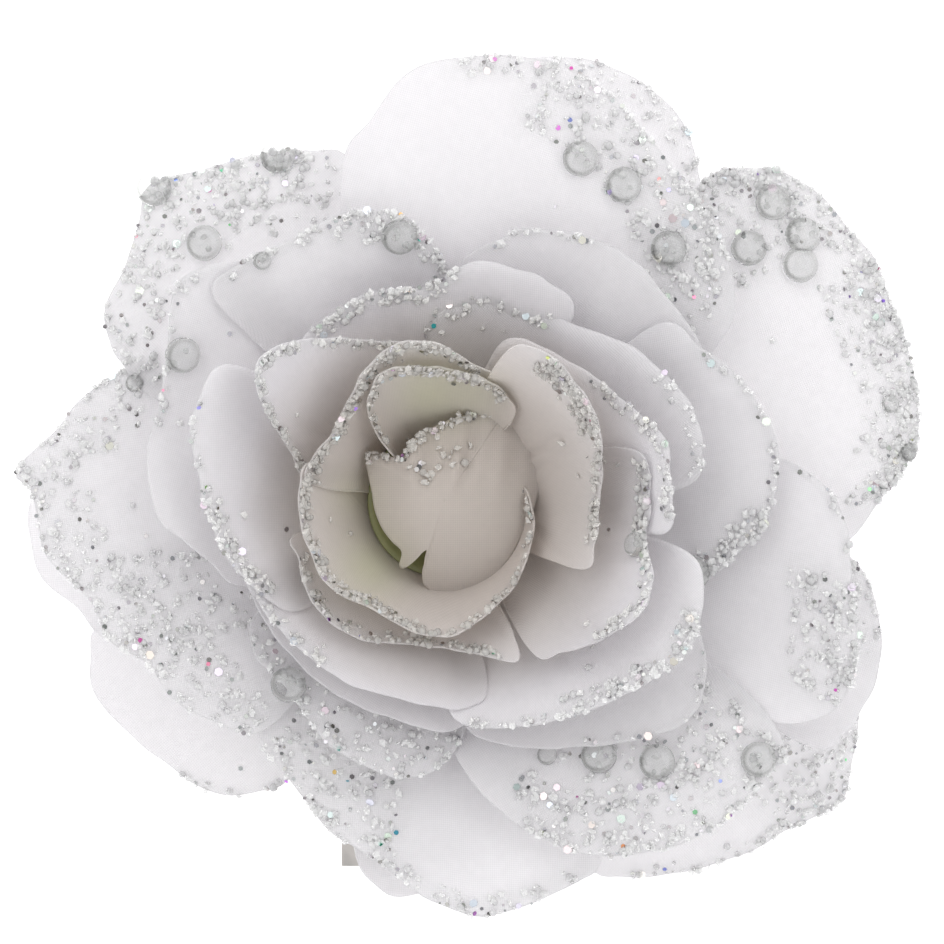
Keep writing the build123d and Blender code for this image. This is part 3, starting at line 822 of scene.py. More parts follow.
LAYERS = (
    FabricLayer("back_petals", "petals_back", 8.35, 9.3, 13.6, 8, -20, 50, 1.0, (
        Petal("A4", ((18.8, 12.1), (29.7, 24.2), (33.5, 32.7), (31.1, 38.7), (30.3, 42.4),
            (29.2, 45.4), (26.0, 49.0), (21.2, 52.1), (15.1, 53.5), (9.1, 53.0), (4.2, 49.0),
            (1.2, 36.3), (0.6, 20.6)), rests=True, bands=(Band(50, 76, 0, 3.5, 70),)),
        Petal("A2", ((-17.6, 8.5), (-32.1, 12.3), (-40.6, 12.1), (-46.6, 6.7), (-50.2, 0.0),
            (-50.2, -4.8), (-48.4, -9.7), (-44.8, -12.7), (-39.3, -16.9), (-23.6, -12.1),
            (-13.9, -6.1)), rests=True),
        Petal("A1", ((-15.1, -6.1), (-34.5, -11.9), (-42.0, -15.1), (-43.1, -19.4), (-42.7, -23.0),
            (-40.6, -26.0), (-35.7, -30.3), (-30.3, -34.3), (-26.0, -35.7), (-21.8, -35.1),
            (-18.8, -33.7), (-13.3, -26.6), (-7.9, -14.5)),
            rests=True, bands=(Band(225, 241, 0, 1.0, 14),)),
        Petal("A7", ((-6.7, -14.5), (-10.9, -31.5), (-11.2, -37.5), (-10.7, -43.6), (-8.7, -46.5),
            (-5.3, -48.0), (0.6, -46.0), (6.7, -42.4), (4.2, -18.2)), lift=2.0),
        Petal("A6", ((6.7, -16.9), (14.5, -36.3), (17.8, -44.8), (21.8, -45.8), (26.0, -45.6),
            (30.9, -44.8), (38.1, -41.8), (41.2, -40.0), (47.2, -36.9), (48.7, -34.9),
            (49.3, -31.5), (50.2, -24.2), (49.0, -18.2), (29.7, -6.7)),
            rests=True, bands=(Band(296, 318, 0, 1.6, 40), Band(316, 338, 0, 11, 300))),
    )),
    FabricLayer("outer_petals", "petals_outer", 7.65, 8.6, 15.2, 20, -14, 50, 1.0, (
        Petal("A5", ((17.6, -13.3), (43.0, -29.3), (48.4, -28.5), (50.7, -25.2), (52.4, -21.8),
            (52.9, -16.9), (52.1, -12.1), (49.6, -7.3), (43.0, -3.6), (21.2, -1.2)),
            bands=(Band(340, 352, 0, 4, 40),)),
        Petal("B3", ((21.2, -2.4), (43.0, -6.8), (49.0, -4.8), (52.7, 0.0), (55.7, 3.6),
            (57.7, 9.7), (56.3, 18.2), (54.5, 23.0), (52.1, 29.1), (49.0, 32.7), (45.4, 36.9),
            (40.6, 39.7), (35.7, 40.2), (31.1, 38.5), (24.8, 30.3), (13.9, 15.7)),
            bands=(Band(-1, 51, 0, 4.5, 430), Band(36, 51, 2, 15, 260), Band(6, 30, 0, 8, 170),
            Band(0, 8, 0, 2.5, 60))),
        Petal("B1", ((-3.0, 14.5), (-10.0, 34.9), (-12.1, 42.0), (-16.3, 42.4), (-23.6, 41.8),
            (-29.7, 40.0), (-34.5, 38.7), (-36.3, 36.9), (-36.9, 33.9), (-38.7, 28.5),
            (-41.2, 23.0), (-40.6, 19.4), (-39.1, 16.6), (-34.5, 12.1), (-16.3, 6.1)),
            bands=(Band(108, 158, 0, 7, 300), Band(112, 134, 0, 11, 130))),
        Petal("B7", ((-15.1, 8.5), (-33.9, 16.2), (-39.3, 15.7), (-44.2, 12.1), (-47.2, 8.5),
            (-52.1, 3.6), (-50.2, 1.0), (-49.3, -3.6), (-47.8, -7.3), (-43.0, -12.1),
            (-40.6, -16.9), (-35.7, -20.0), (-33.3, -23.6), (-29.7, -26.0), (-23.0, -28.2),
            (-16.9, -23.0), (-7.3, -10.9)), bands=(Band(158, 231, 0, 8, 390),
            Band(190, 214, 4, 16, 130))),
        Petal("B6", ((-7.9, -10.9), (-18.5, -23.6), (-22.6, -28.5), (-18.8, -33.9), (-15.1, -38.7),
            (-12.8, -40.9), (-10.5, -42.3), (-5.7, -45.6), (-1.8, -48.4), (4.2, -50.2),
            (10.3, -49.0), (16.3, -46.0), (19.0, -43.6), (17.6, -35.1), (6.7, -14.5)),
            bands=(Band(233, 262, 0, 12, 210), Band(260, 290, 0, 2.5, 60))),
    )),
    FabricLayer("front_petals", "petals_front", 6.95, 7.9, 16.8, 26, -4, 48, 1.0, (
        Petal("B4", ((17.6, -12.1), (37.5, -25.7), (45.4, -26.4), (49.0, -23.0), (50.0, -16.9),
            (49.3, -8.5), (48.8, -3.6), (46.6, 1.2), (43.0, 4.2), (39.3, 5.4), (30.9, 7.3),
            (17.6, 4.8)), bands=(Band(332, 349, 0, 8.5, 190), Band(350, 366, 0, 1.0, 12))),
        Petal("B2", ((15.1, 7.9), (28.5, 13.1), (32.7, 18.2), (34.9, 21.8), (35.1, 25.4),
            (33.1, 32.7), (28.5, 39.3), (23.6, 45.4), (18.8, 50.2), (13.9, 53.0), (6.7, 53.9),
            (-0.6, 53.3), (-5.4, 51.1), (-9.1, 46.0), (-11.9, 42.4), (-12.7, 34.5), (-11.5, 26.6),
            (-5.4, 13.3)), bands=(Band(40, 78, 0, 9, 300), Band(76, 88, 0, 2.5, 30),
            Band(34, 50, 2, 12, 90))),
        Petal("B8", ((-10.3, -6.1), (-22.2, -13.1), (-23.0, -18.2), (-18.8, -23.0), (-13.9, -29.7),
            (-6.7, -33.3), (-2.4, -33.3), (1.2, -30.3), (3.3, -24.2), (1.8, -13.3)),
            bands=(Band(214, 274, 0, 8, 230),)),
        Petal("B5", ((0.6, -14.5), (0.4, -26.0), (1.2, -30.3), (4.2, -35.1), (9.1, -39.3),
            (13.9, -41.8), (18.8, -43.1), (24.8, -42.6), (30.9, -40.6), (35.7, -37.3),
            (39.3, -33.3), (41.2, -30.5), (36.3, -23.0), (16.3, -9.1)),
            bands=(Band(284, 324, 0, 9, 340), Band(296, 326, 6, 15, 140))),
    )),
    FabricLayer("middle_petals", "petals_middle", 6.25, 7.2, 18.4, 30, 6, 40, 1.0, (
        Petal("C2right", ((13.9, -7.3), (24.8, -12.3), (29.7, -10.9), (33.3, -8.5), (36.0, -5.8),
            (38.4, -4.0), (39.6, 0.0), (40.3, 3.6), (40.1, 7.3), (38.7, 10.9), (35.7, 15.1),
            (30.9, 18.8), (26.0, 21.5), (13.9, 12.1)),
            ruffle=0.6, bands=(Band(338, 358, 0, 3.5, 110), Band(356, 390, 0, 1.0, 30))),
        Petal("C2top", ((16.3, 6.1), (30.9, 11.9), (32.3, 15.5), (30.9, 18.8), (27.2, 24.2),
            (23.6, 28.6), (18.8, 31.5), (13.9, 32.6), (9.1, 32.8), (6.7, 31.6), (3.6, 30.3),
            (1.6, 27.2), (0.6, 13.3)), ruffle=0.5, bands=(Band(60, 80, 0, 1.0, 16),)),
        Petal("C1b", ((1.2, 12.1), (1.8, 24.8), (0.0, 28.8), (-1.8, 31.5), (-4.2, 34.1),
            (-7.3, 35.2), (-12.7, 34.5), (-18.8, 31.5), (-24.8, 28.8), (-27.8, 24.2),
            (-12.7, 10.9)), bands=(Band(90, 112, 0, 4, 110), Band(112, 134, 0, 1.2, 30))),
        Petal("C1a", ((-10.3, 12.1), (-22.2, 27.6), (-25.4, 28.8), (-30.9, 27.6), (-33.1, 24.2),
            (-33.5, 18.8), (-34.1, 13.3), (-35.1, 9.7), (-36.0, 6.1), (-35.7, 1.2), (-34.5, -2.4),
            (-32.3, -4.5), (-28.7, -7.3), (-23.6, -10.3), (-10.3, -3.6)),
            bands=(Band(135, 165, 0, 1.2, 26),)),
        Petal("C6", ((-9.1, -2.4), (-24.2, -5.4), (-24.2, -8.5), (-22.2, -13.6), (-18.8, -18.4),
            (-12.7, -23.8), (-5.4, -26.9), (1.2, -28.0), (4.5, -23.0), (2.4, -12.1))),
        Petal("C3", ((1.2, -12.1), (2.1, -24.2), (3.6, -28.2), (11.5, -29.9), (21.2, -29.3),
            (27.5, -27.8), (30.4, -25.7), (31.6, -21.8), (31.6, -18.2), (29.9, -14.3), (23.6, -9.7),
            (13.9, -4.8)), bands=(Band(300, 330, 0, 1.0, 12),)),
    )),
    FabricLayer("inner_petals", "petals_inner", 5.55, 6.5, 20.0, 31, 40, 30, 0.9, (
        Petal("C4c", ((0.6, -12.1), (0.4, -23.0), (1.8, -25.8), (6.7, -26.6), (13.9, -26.0),
            (21.2, -23.6), (26.0, -20.6), (28.9, -17.6), (30.9, -12.1), (29.7, -6.3), (17.6, -2.4)),
            lip=0.6, bands=(Band(300, 336, 0, 2.6, 130), Band(276, 300, 0, 1.0, 26))),
        Petal("C4e", ((15.1, -1.2), (28.5, 1.8), (30.3, 6.1), (29.7, 9.7), (27.2, 13.3),
            (21.2, 18.2), (13.9, 21.2), (6.7, 24.2), (1.8, 23.6), (-1.8, 22.0), (-3.0, 18.2),
            (-0.6, 8.5)), lip=1.0, lift=-1.5, bands=(Band(60, 98, 0, 1.6, 60),
            Band(5, 30, 0, 1.4, 24))),
        Petal("C4d", ((6.7, 9.7), (14.9, 21.2), (12.1, 25.8), (8.5, 27.6), (4.2, 28.5), (1.2, 27.2),
            (-1.8, 25.4), (-6.7, 25.1), (-10.3, 24.2), (-13.7, 22.0), (-16.9, 18.2), (-6.7, 8.5)),
            lip=0.6, lift=-2.0, bands=(Band(86, 128, 0, 1.6, 110),)),
        Petal("C4a", ((-9.1, 8.5), (-25.4, 16.3), (-29.1, 12.1), (-29.9, 7.9), (-29.1, 3.6),
            (-28.5, 0.0), (-27.8, -2.4), (-26.3, -6.7), (-22.2, -11.1), (-16.9, -13.1),
            (-6.7, -5.4)), lip=0.5, bands=(Band(180, 208, 0, 2.0, 80), Band(158, 180, 0, 0.8, 16))),
        Petal("C4b", ((-7.9, -3.6), (-22.2, -8.7), (-22.2, -11.5), (-19.4, -14.8), (-17.6, -16.9),
            (-11.5, -21.8), (-3.0, -24.2), (3.0, -24.6), (5.2, -21.8), (2.4, -10.9)),
            lip=0.5, bands=(Band(206, 236, 0, 1.2, 30),)),
    )),
    FabricLayer("cup_petals", "petals_cup", 4.85, 5.8, 21.6, 37, 50, 28, 0.8, (
        Petal("D8", ((4.2, -7.3), (10.3, -17.9), (14.2, -17.9), (18.8, -16.9), (23.6, -14.5),
            (25.4, -9.7), (24.2, -4.8), (25.1, 0.0), (23.8, 6.1), (13.9, 6.1)),
            ruffle=0.7, bands=(Band(318, 372, 0, 2.2, 150),)),
        Petal("D7", ((11.5, 0.0), (24.8, -3.9), (26.8, 0.0), (26.2, 6.1), (23.6, 9.4), (18.8, 13.6),
            (13.3, 17.6), (7.3, 19.1), (3.0, 12.1)), lip=0.8, bands=(Band(-4, 40, 0, 1.4, 70),)),
        Petal("D1", ((0.0, 9.7), (-1.6, 16.9), (-3.0, 18.8), (-6.7, 19.0), (-12.7, 19.6),
            (-18.8, 18.8), (-22.2, 17.2), (-23.0, 13.9), (-21.2, 9.7), (-18.8, 6.1), (-16.6, 2.2),
            (-8.5, 0.6)), ruffle=0.6, bands=(Band(98, 172, 0, 1.7, 190),)),
        Petal("D5", ((-6.7, -1.2), (-17.6, -3.9), (-17.6, -7.3), (-15.7, -12.1), (-11.5, -15.7),
            (-5.4, -17.2), (3.0, -18.8), (9.1, -18.8), (4.2, -8.5)),
            bands=(Band(200, 290, 0, 1.6, 120),)),
    )),
    FabricLayer("ring_petals", "petals_ring", 4.15, 5.1, 23.2, 48, 56, 24, 0.7, (
        Petal("D6", ((6.7, -4.8), (16.6, -8.2), (17.8, -4.8), (18.4, 0.0), (19.1, 4.8), (18.8, 9.7),
            (16.3, 13.9), (12.7, 17.6), (7.9, 18.5), (3.0, 10.9)),
            ruffle=0.5, bands=(Band(344, 390, 0, 1.8, 80), Band(24, 56, 0, 4.5, 150))),
        Petal("D2", ((4.2, 7.3), (8.1, 13.6), (4.2, 16.0), (-0.6, 18.8), (-5.4, 18.2), (-9.7, 15.7),
            (-12.1, 12.1), (-13.9, 8.5), (-16.6, 2.4), (-7.9, 1.0)),
            bands=(Band(74, 172, 0, 2.0, 220),)),
        Petal("D4", ((-6.1, 2.4), (-15.4, 4.6), (-17.1, 1.8), (-17.2, -2.4), (-15.7, -6.3),
            (-13.0, -10.3), (-9.1, -13.0), (-4.8, -15.3), (0.6, -16.5), (4.2, -14.3, 0.5),
            (6.9, -12.1, 1.2), (9.7, -8.5, 2.0), (10.9, -3.6, 2.6), (10.3, 1.5, 2.6),
            (5.4, 2.4, 1.0)), ruffle=0.25, crease=0.1, bands=(Band(172, 262, 0, 1.8, 150),
            Band(262, 368, 0, 1.0, 60))),
    )),
    FabricLayer("bud_petals", "petals_bud", 3.45, 3.0, 23.8, 46, 54, 20, 0.4, (
        Petal("D3", ((3.0, 4.8), (8.1, 9.7), (7.5, 12.1), (5.4, 14.0), (0.6, 15.9), (-4.2, 16.2),
            (-7.3, 15.3), (-9.2, 12.1, 0.5), (-8.6, 9.1, 1.5), (-6.9, 6.4, 3.0), (-4.2, 3.6, 4.0)),
            ruffle=0.3, crease=0.15, bands=(Band(60, 138, 0, 1.6, 130),)),
    )),
)

HEART_FLAP = HeartFlap((
    (55.7, 12.9, 33.0), (73.6, 10.7, 33.2), (93.8, 9.1, 33.2), (116, 8.1, 33.2), (136, 7.3, 33.0),
    (144, 9.6, 32.6), (151, 10.6, 32.8), (160, 9.7, 32.3), (172, 8.75, 32.0), (188, 8.35, 31.8),
    (204, 8.1, 31.6), (218, 7.9, 31.4), (230, 7.9, 31.2), (235, 9.4, 31.0), (239, 9.4, 31.0),
    (243, 8.2, 31.2), (250, 6.2, 31.5), (253, 8.0, 31.0), (256, 10.2, 30.6), (270, 11.3, 30.4),
    (300, 10.9, 30.0), (320, 10.3, 30.0), (342, 10.2, 30.0), (6, 11.3, 30.6), (28, 13.0, 31.6),
    (44, 13.2, 32.4),
), crown=36.0)

# spots of painted green cast: x, y, size and strength
PAINTED_GREEN_SPOTS = (
    (-1.8, 12.6, 4.5, 0.55), (-8.3, -7.5, 4.5, 0.6), (-10.5, 0.5, 3.5, 0.35), (4.0, 12.5, 3.5, 0.3)
)


@dataclass(frozen=True)
class Dewdrop:
    """A clear domed bead: layer and petal it is glued to, place from above in millimetres, radius."""

    layer: int
    petal: str
    x: float
    y: float
    radius: float = 2.15


DEWDROPS = (
    Dewdrop(1, "B1", -20.1, 43.2), Dewdrop(1, "B1", -34.5, 37.2), Dewdrop(1, "B1", -28.5, 30.9),
    Dewdrop(1, "B3", 36.3, 30.3), Dewdrop(1, "B3", 42.6, 31.8), Dewdrop(1, "B3", 42.4, 28.2),
    Dewdrop(1, "B3", 39.3, 35.7), Dewdrop(2, "B2", 16.1, 40.6), Dewdrop(2, "B2", 21.2, 37.5),
    Dewdrop(2, "B2", 26.6, 30.3), Dewdrop(2, "B8", -19.4, -22.8), Dewdrop(2, "B5", 18.4, -30.5),
    Dewdrop(2, "B5", 25.4, -31.1), Dewdrop(2, "B5", 37.2, -31.1), Dewdrop(3, "C1a", -31.2, 17.3),
    Dewdrop(3, "C1b", -5.4, 31.5), Dewdrop(3, "C2right", 29.7, -8.5), Dewdrop(5, "D8", 22.8, -5.2, 1.5),
    Dewdrop(1, "B3", 53.3, 11.6, 1.1), Dewdrop(1, "B3", 55.7, 5.2, 1.1), Dewdrop(1, "B7", -36.9, 14.2, 1.1),
    Dewdrop(3, "C1b", -21.8, 28.4, 1.1), Dewdrop(2, "B5", 12.1, -30.3, 1.2),
)


# ---------------------------------------------------------------- building the flower
@dataclass
class Rose:
    """The fabric flower: its layers of petals and the flap over its core."""

    layers: tuple = LAYERS
    flap: HeartFlap = HEART_FLAP
    finish: WhitePolyester = field(default_factory=lambda: WhitePolyester("white_polyester"))
    heart_inner: float = 7.0
    heart_outer: float = 36.0
    collar_width: float = 2.1
    first_green_layer: int = 6
    blank_stretch: float = 1.1

    def painted_heart_shade(self, points: np.ndarray) -> np.ndarray:
        """Painted warm shade on the cloth: 1 at the heart of the flower, where the layers shade it, falling
        smoothly to 0 at its outer petals.
        """
        reach = np.hypot(points[..., 0], points[..., 1])
        return 1 - eased((reach - self.heart_inner) / (self.heart_outer - self.heart_inner))

    def painted_green_cast(self, points: np.ndarray) -> np.ndarray:
        """Painted green cast where the plastic inside would show through the cloth: round soft spots seen
        from above.
        """
        total = np.zeros(points.shape[:-1])
        for x, y, size, strength in PAINTED_GREEN_SPOTS:
            away = (points[..., 0] - x) ** 2 + (points[..., 1] - y) ** 2
            total = total + strength * np.exp(-away / (2 * (size / 1.6) ** 2))
        return np.clip(total, 0, 1)

    def collar(self, layer: FabricLayer) -> tuple[np.ndarray, np.ndarray, np.ndarray]:
        """Makes the flat ring round the peg, from the hole to just under the petals.

        Args:
            layer: Layer of the ring.

        Returns:
            Its grid of points, their thread places and their glue.
        """
        across = np.linspace(layer.hole_radius, layer.hole_radius + self.collar_width, 4)
        bearing, radius = np.meshgrid(np.linspace(0, 2 * math.pi, 73), across)
        level = np.full_like(radius, layer.ledge)
        ring = np.stack([radius * np.cos(bearing), radius * np.sin(bearing), level], -1)
        return ring, ring[..., :2], np.zeros_like(radius)

    def build_layer(self, number: int, layer: FabricLayer, material: bpy.types.Material) -> None:
        """Makes one layer: its petals, its ring and, in the innermost, the flap over the core.

        Args:
            number: Place of the layer, from the back.
            layer: Its sizes.
            material: The cloth.
        """
        sheets = [self.collar(layer)]
        u, v = layer.petal_grid()
        for petal in layer.petals:
            parts = (layer.surface, layer.thread_place, layer.glued)
            sheets.append(tuple(part(petal, u, v) for part in parts))
        lobe = np.zeros((1, 2))
        if number == len(self.layers) - 1:
            around, out = self.flap.grid()
            cover = self.flap.surface(around, out)
            sheets.append((cover, cover[..., :2], np.zeros_like(around)))
            outline = cover[-1, :, :2] * self.blank_stretch
            lobe = outline - [0.0, np.abs(outline[:, 1]).max()]
        starts = np.cumsum([0] + [glued.size for _, _, glued in sheets])
        quads = np.concatenate([
            grid_faces(*glued.shape, first) for (_, _, glued), first in zip(sheets, starts)
        ])
        everything = np.concatenate([sheet.reshape(-1, 3) for sheet, _, _ in sheets])
        piece = mesh_piece(layer.name, to_frame(everything), quads.tolist())
        thread_map(piece, np.concatenate([lie.reshape(-1, 2) for _, lie, _ in sheets]))
        # painted green cast, only on the innermost layers
        green = self.painted_green_cast(everything) * (number >= self.first_green_layer)
        # painted shade on the cloth, strongest at the heart of the flower
        point_values(piece, Fabrics.HEART.value, self.painted_heart_shade(everything))
        point_values(piece, Fabrics.GREEN.value, green)
        point_values(piece, Fabrics.GLUED.value, np.concatenate([glued.ravel() for _, _, glued in sheets]))
        wall = piece.modifiers.new("cloth_thickness", "SOLIDIFY")
        wall.thickness = CLOTH_THICKNESS * MM
        wall.offset = -1.0
        piece.data.materials.append(material)
        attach(piece, "flower")
        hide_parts(layer.cad_node)
        layer.flat_size(lobe)

    def build(self) -> None:
        """Makes every layer."""
        material = self.finish.material()
        for number, layer in enumerate(self.layers):
            self.build_layer(number, layer, material)


def surface_at(
    layer: FabricLayer, petal: Petal, u: np.ndarray, v: np.ndarray
) -> tuple[np.ndarray, np.ndarray]:
    """Finds points of a petal and their normals on the side that faces up.

    The normal is the cross product of the steps towards the rim and along it.

    Args:
        layer: Layer of the petal.
        petal: The petal.
        u: Places along the rim.
        v: Places from base to rim.

    Returns:
        The points and the normals.
    """
    here = layer.surface(petal, u, v)
    outward = layer.surface(petal, u, v + STEP) - layer.surface(petal, u, v - STEP)
    sideways = layer.surface(petal, u + STEP, v) - layer.surface(petal, u - STEP, v)
    normal = np.cross(outward, sideways)
    return here, normal / np.maximum(np.linalg.norm(normal, axis=-1, keepdims=True), 1e-9)


@dataclass(frozen=True)
class Flake:
    """A kind of glitter: shape, sizes in millimetres, lean in radians and share its corners vary by."""

    name: str
    shape: np.ndarray
    faces: np.ndarray
    smallest: float
    largest: float
    lean: float
    rough: float = 0.0
    smooth: bool = False


@dataclass
class Dusting:
    """The glitter: crushed ice flakes, microbeads, silver and pearl hexagons, glued along the rims."""

    seed: int = 11
    stray_pieces: int = 5
    stray_inset: float = 16.0
    glue_film: float = 0.05
    sink: float = 0.18
    film_thickness: float = 0.06
    heart_shade: float = 0.55
    heart_radius: float = 12.0
    heart_fade: float = 18.0
    heart_shade_colour: tuple = (0.62, 0.57, 0.5)
    shares: tuple = (0.62, 0.80, 0.92, 0.94)
    places: list = field(default_factory=list)
    normals: list = field(default_factory=list)

    def sample_band(
        self, layer: FabricLayer, petal: Petal, band: Band, rng: np.random.Generator
    ) -> None:
        """Picks places in a band: even along the rim, and closer together towards it.

        Args:
            layer: Layer of the petal.
            petal: The petal.
            band: The stretch of rim.
            rng: Source of the random places.
        """
        table = petal.rim_table()
        bearing = np.degrees(table[:, 0])
        inside = (bearing - band.start) % 360 < (band.end - band.start)
        inside &= table[:, 1] > 0.6 * table[:, 1].max()
        found = np.flatnonzero(inside)
        u = (rng.choice(found, band.pieces) + rng.uniform(-0.5, 0.5, band.pieces)) / (len(table) - 1)
        u = np.clip(u, 0, 1)
        inset = band.inner + (band.outer - band.inner) * rng.uniform(0, 1, band.pieces) ** 1.5
        length = layer.length_to(np.interp(u, np.linspace(0, 1, len(table)), table[:, 1]))
        here, normal = surface_at(layer, petal, u, np.clip(1 - inset / length, 0.25, 1.0))
        self.places.append(here)
        self.normals.append(normal)

    def flap_rim(self, rng: np.random.Generator) -> None:
        """Dusts the raised edge of the flap over the core."""
        u = np.concatenate([rng.uniform(0.0, 0.26, 90), rng.uniform(0.02, 0.2, 24)])
        v = np.concatenate([1 - rng.uniform(0, 0.14, 90) ** 1.2, rng.uniform(0.35, 0.85, 24)])
        here = HEART_FLAP.surface(u, v)
        outward = here - HEART_FLAP.surface(u, v - STEP)
        sideways = HEART_FLAP.surface(u + STEP, v) - HEART_FLAP.surface(u - STEP, v)
        normal = np.cross(outward, sideways)
        self.places.append(here)
        self.normals.append(normal / np.linalg.norm(normal, axis=-1, keepdims=True))

    def spread(
        self, kind: Flake, chosen: np.ndarray, material: bpy.types.Material, rng: np.random.Generator
    ) -> bpy.types.Object:
        """Puts a copy of a small shape at each chosen place, as one mesh.

        Each copy has its own upright direction, leaning from the cloth's normal, its own turn
        about it, and corners pushed in or out.

        Args:
            kind: The shape and its spreads.
            chosen: Indices of the places.
            material: The finish.
            rng: Source of randomness.

        Returns:
            The piece.
        """
        count, corners = len(chosen), len(kind.shape)
        sizes = rng.uniform(kind.smallest, kind.largest, count)[:, None, None]
        places = np.concatenate(self.places)[chosen]
        normals = np.concatenate(self.normals)[chosen]
        up = normals + kind.lean * rng.normal(size=(count, 3))
        up /= np.linalg.norm(up, axis=1, keepdims=True)
        first = np.cross(up, rng.normal(size=(count, 3)))
        first /= np.linalg.norm(first, axis=1, keepdims=True)
        axes = np.stack([first, np.cross(up, first), up], 1)
        push = 1 + kind.rough * rng.uniform(-1, 1, (count, corners, 1))
        points = places[:, None] + normals[:, None] * (self.glue_film + self.sink * sizes)
        points = points + (kind.shape * push * sizes) @ axes
        index = kind.faces[None] + (np.arange(count) * corners)[:, None, None]
        piece = mesh_piece(kind.name, to_frame(points), index.reshape(-1, 3).tolist(), kind.smooth)
        piece.data.materials.append(material)
        # painted shade: the clear glitter darkens towards the heart of the flower
        reach = np.hypot(points[..., 0], points[..., 1])
        outside = eased((reach - self.heart_radius) / self.heart_fade)
        point_values(piece, "shade", self.heart_shade * (1 - outside))
        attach(piece, "flower")
        LOG.info("%s: %d", kind.name, count)
        return piece

    def hexagon(self, thickness: float) -> tuple[np.ndarray, np.ndarray]:
        """Six-sided plate, one across its corners: two fans and six walls cut into triangles."""
        turn = np.arange(6) * math.pi / 3
        ring = np.stack([np.cos(turn) / 2, np.sin(turn) / 2, np.zeros(6)], -1)
        lower, upper = ring - [0, 0, thickness / 2], ring + [0, 0, thickness / 2]
        k = np.arange(6)
        n = (k + 1) % 6
        fans = np.array([(6, 6 + a, 6 + a + 1) for a in range(1, 5)] + [(0, a + 1, a) for a in range(1, 5)])
        walls = np.concatenate([np.stack([k, n, n + 6], -1), np.stack([k, n + 6, k + 6], -1)])
        return np.concatenate([lower, upper]), np.concatenate([fans, walls])

    def shard(self) -> tuple[np.ndarray, np.ndarray]:
        """Crushed flake: a flat five-sided double pyramid."""
        turn = np.arange(5) * math.tau / 5
        ring = np.stack([np.cos(turn) / 2, np.sin(turn) / 2, np.zeros(5)], -1)
        points = np.concatenate([ring, [[0.1, 0.0, 0.3], [-0.05, 0.05, -0.22]]])
        k = np.arange(5)
        n = (k + 1) % 5
        top = np.stack([k, n, np.full(5, 5)], -1)
        bottom = np.stack([n, k, np.full(5, 6)], -1)
        return points, np.concatenate([top, bottom])

    def ball(self) -> tuple[np.ndarray, np.ndarray]:
        """Small round bead of eight sides and four rings."""
        lean = np.linspace(-math.pi / 2, math.pi / 2, 6)
        profile = np.stack([np.cos(lean) / 2, np.sin(lean) / 2], -1)
        points, faces = turned_profile(profile, 8)
        return points, np.array([(f[0], *f[k:k + 2]) for f in faces for k in range(1, len(f) - 1)])

    def build(self) -> None:
        """Dusts every band, then shares the places out among the kinds of glitter."""
        rng = np.random.default_rng(self.seed)
        for layer in LAYERS:
            for petal in layer.petals:
                for band in petal.bands:
                    self.sample_band(layer, petal, band, rng)
                if petal.bands:
                    whole = petal.bands[0]
                    strays = Band(whole.start, whole.end, 0, self.stray_inset, self.stray_pieces)
                    self.sample_band(layer, petal, strays, rng)
        self.flap_rim(rng)
        total = sum(len(p) for p in self.places)
        order = rng.permutation(total)
        ice, beads, silver, pearl, fine = np.split(order, (np.array(self.shares) * total).astype(int))
        clear = ClearGlass(
            "ice_clear", tint=(0.99, 0.99, 0.985), index=1.26, frost=0.5, clearness=0.42,
            shade=self.heart_shade_colour,
        ).material()
        bead_clear = ClearGlass(
            "microbead_clear", tint=(0.99, 0.99, 0.99), index=1.38, clearness=0.6, shade=self.heart_shade_colour
        ).material()
        foil = FoilGlitter("silver_foil").material()
        film = FoilGlitter("pearl_film", metal=0.55, coat=1.0).material()
        self.spread(Flake("ice_flakes", *self.shard(), 0.5, 1.15, 0.5, 0.35), ice, clear, rng)
        self.spread(Flake("microbeads", *self.ball(), 0.5, 1.1, 0.1, 0.0, True), beads, bead_clear, rng)
        plate = self.hexagon(self.film_thickness)
        for kind, chosen, material in (
            (Flake("silver_hexagons", *plate, 0.45, 0.7, 0.28), silver, foil),
            (Flake("pearl_hexagons", *plate, 0.8, 1.15, 0.3), pearl, film),
            (Flake("fine_silver", *plate, 0.3, 0.5, 0.5), fine, foil),
        ):
            piece = self.spread(kind, chosen, material, rng)
            self.colour_flakes(piece, len(chosen), material is film, rng)

    def colour_flakes(
        self, piece: bpy.types.Object, count: int, pearly: bool, rng: np.random.Generator
    ) -> None:
        """Gives each hexagon its colour: greys of silver, or pale interference hues.

        Args:
            piece: The hexagons.
            count: How many there are.
            pearly: Whether they are of pearl film.
            rng: Source of randomness.
        """
        hue = rng.uniform(0, 2 * math.pi, count)[:, None] + np.array([0.0, 2.1, 4.2])
        strength = 0.08 if pearly else np.where(rng.uniform(size=(count, 1)) < 0.06, 0.25, 0.015)
        level = rng.uniform(0.7, 0.95, (count, 1)) if pearly else rng.uniform(0.28, 0.6, (count, 1))
        colours = np.clip(level + strength * np.cos(hue), 0.02, 1)
        point_colours(piece, "flake", np.repeat(colours, len(piece.data.vertices) // count, 0))


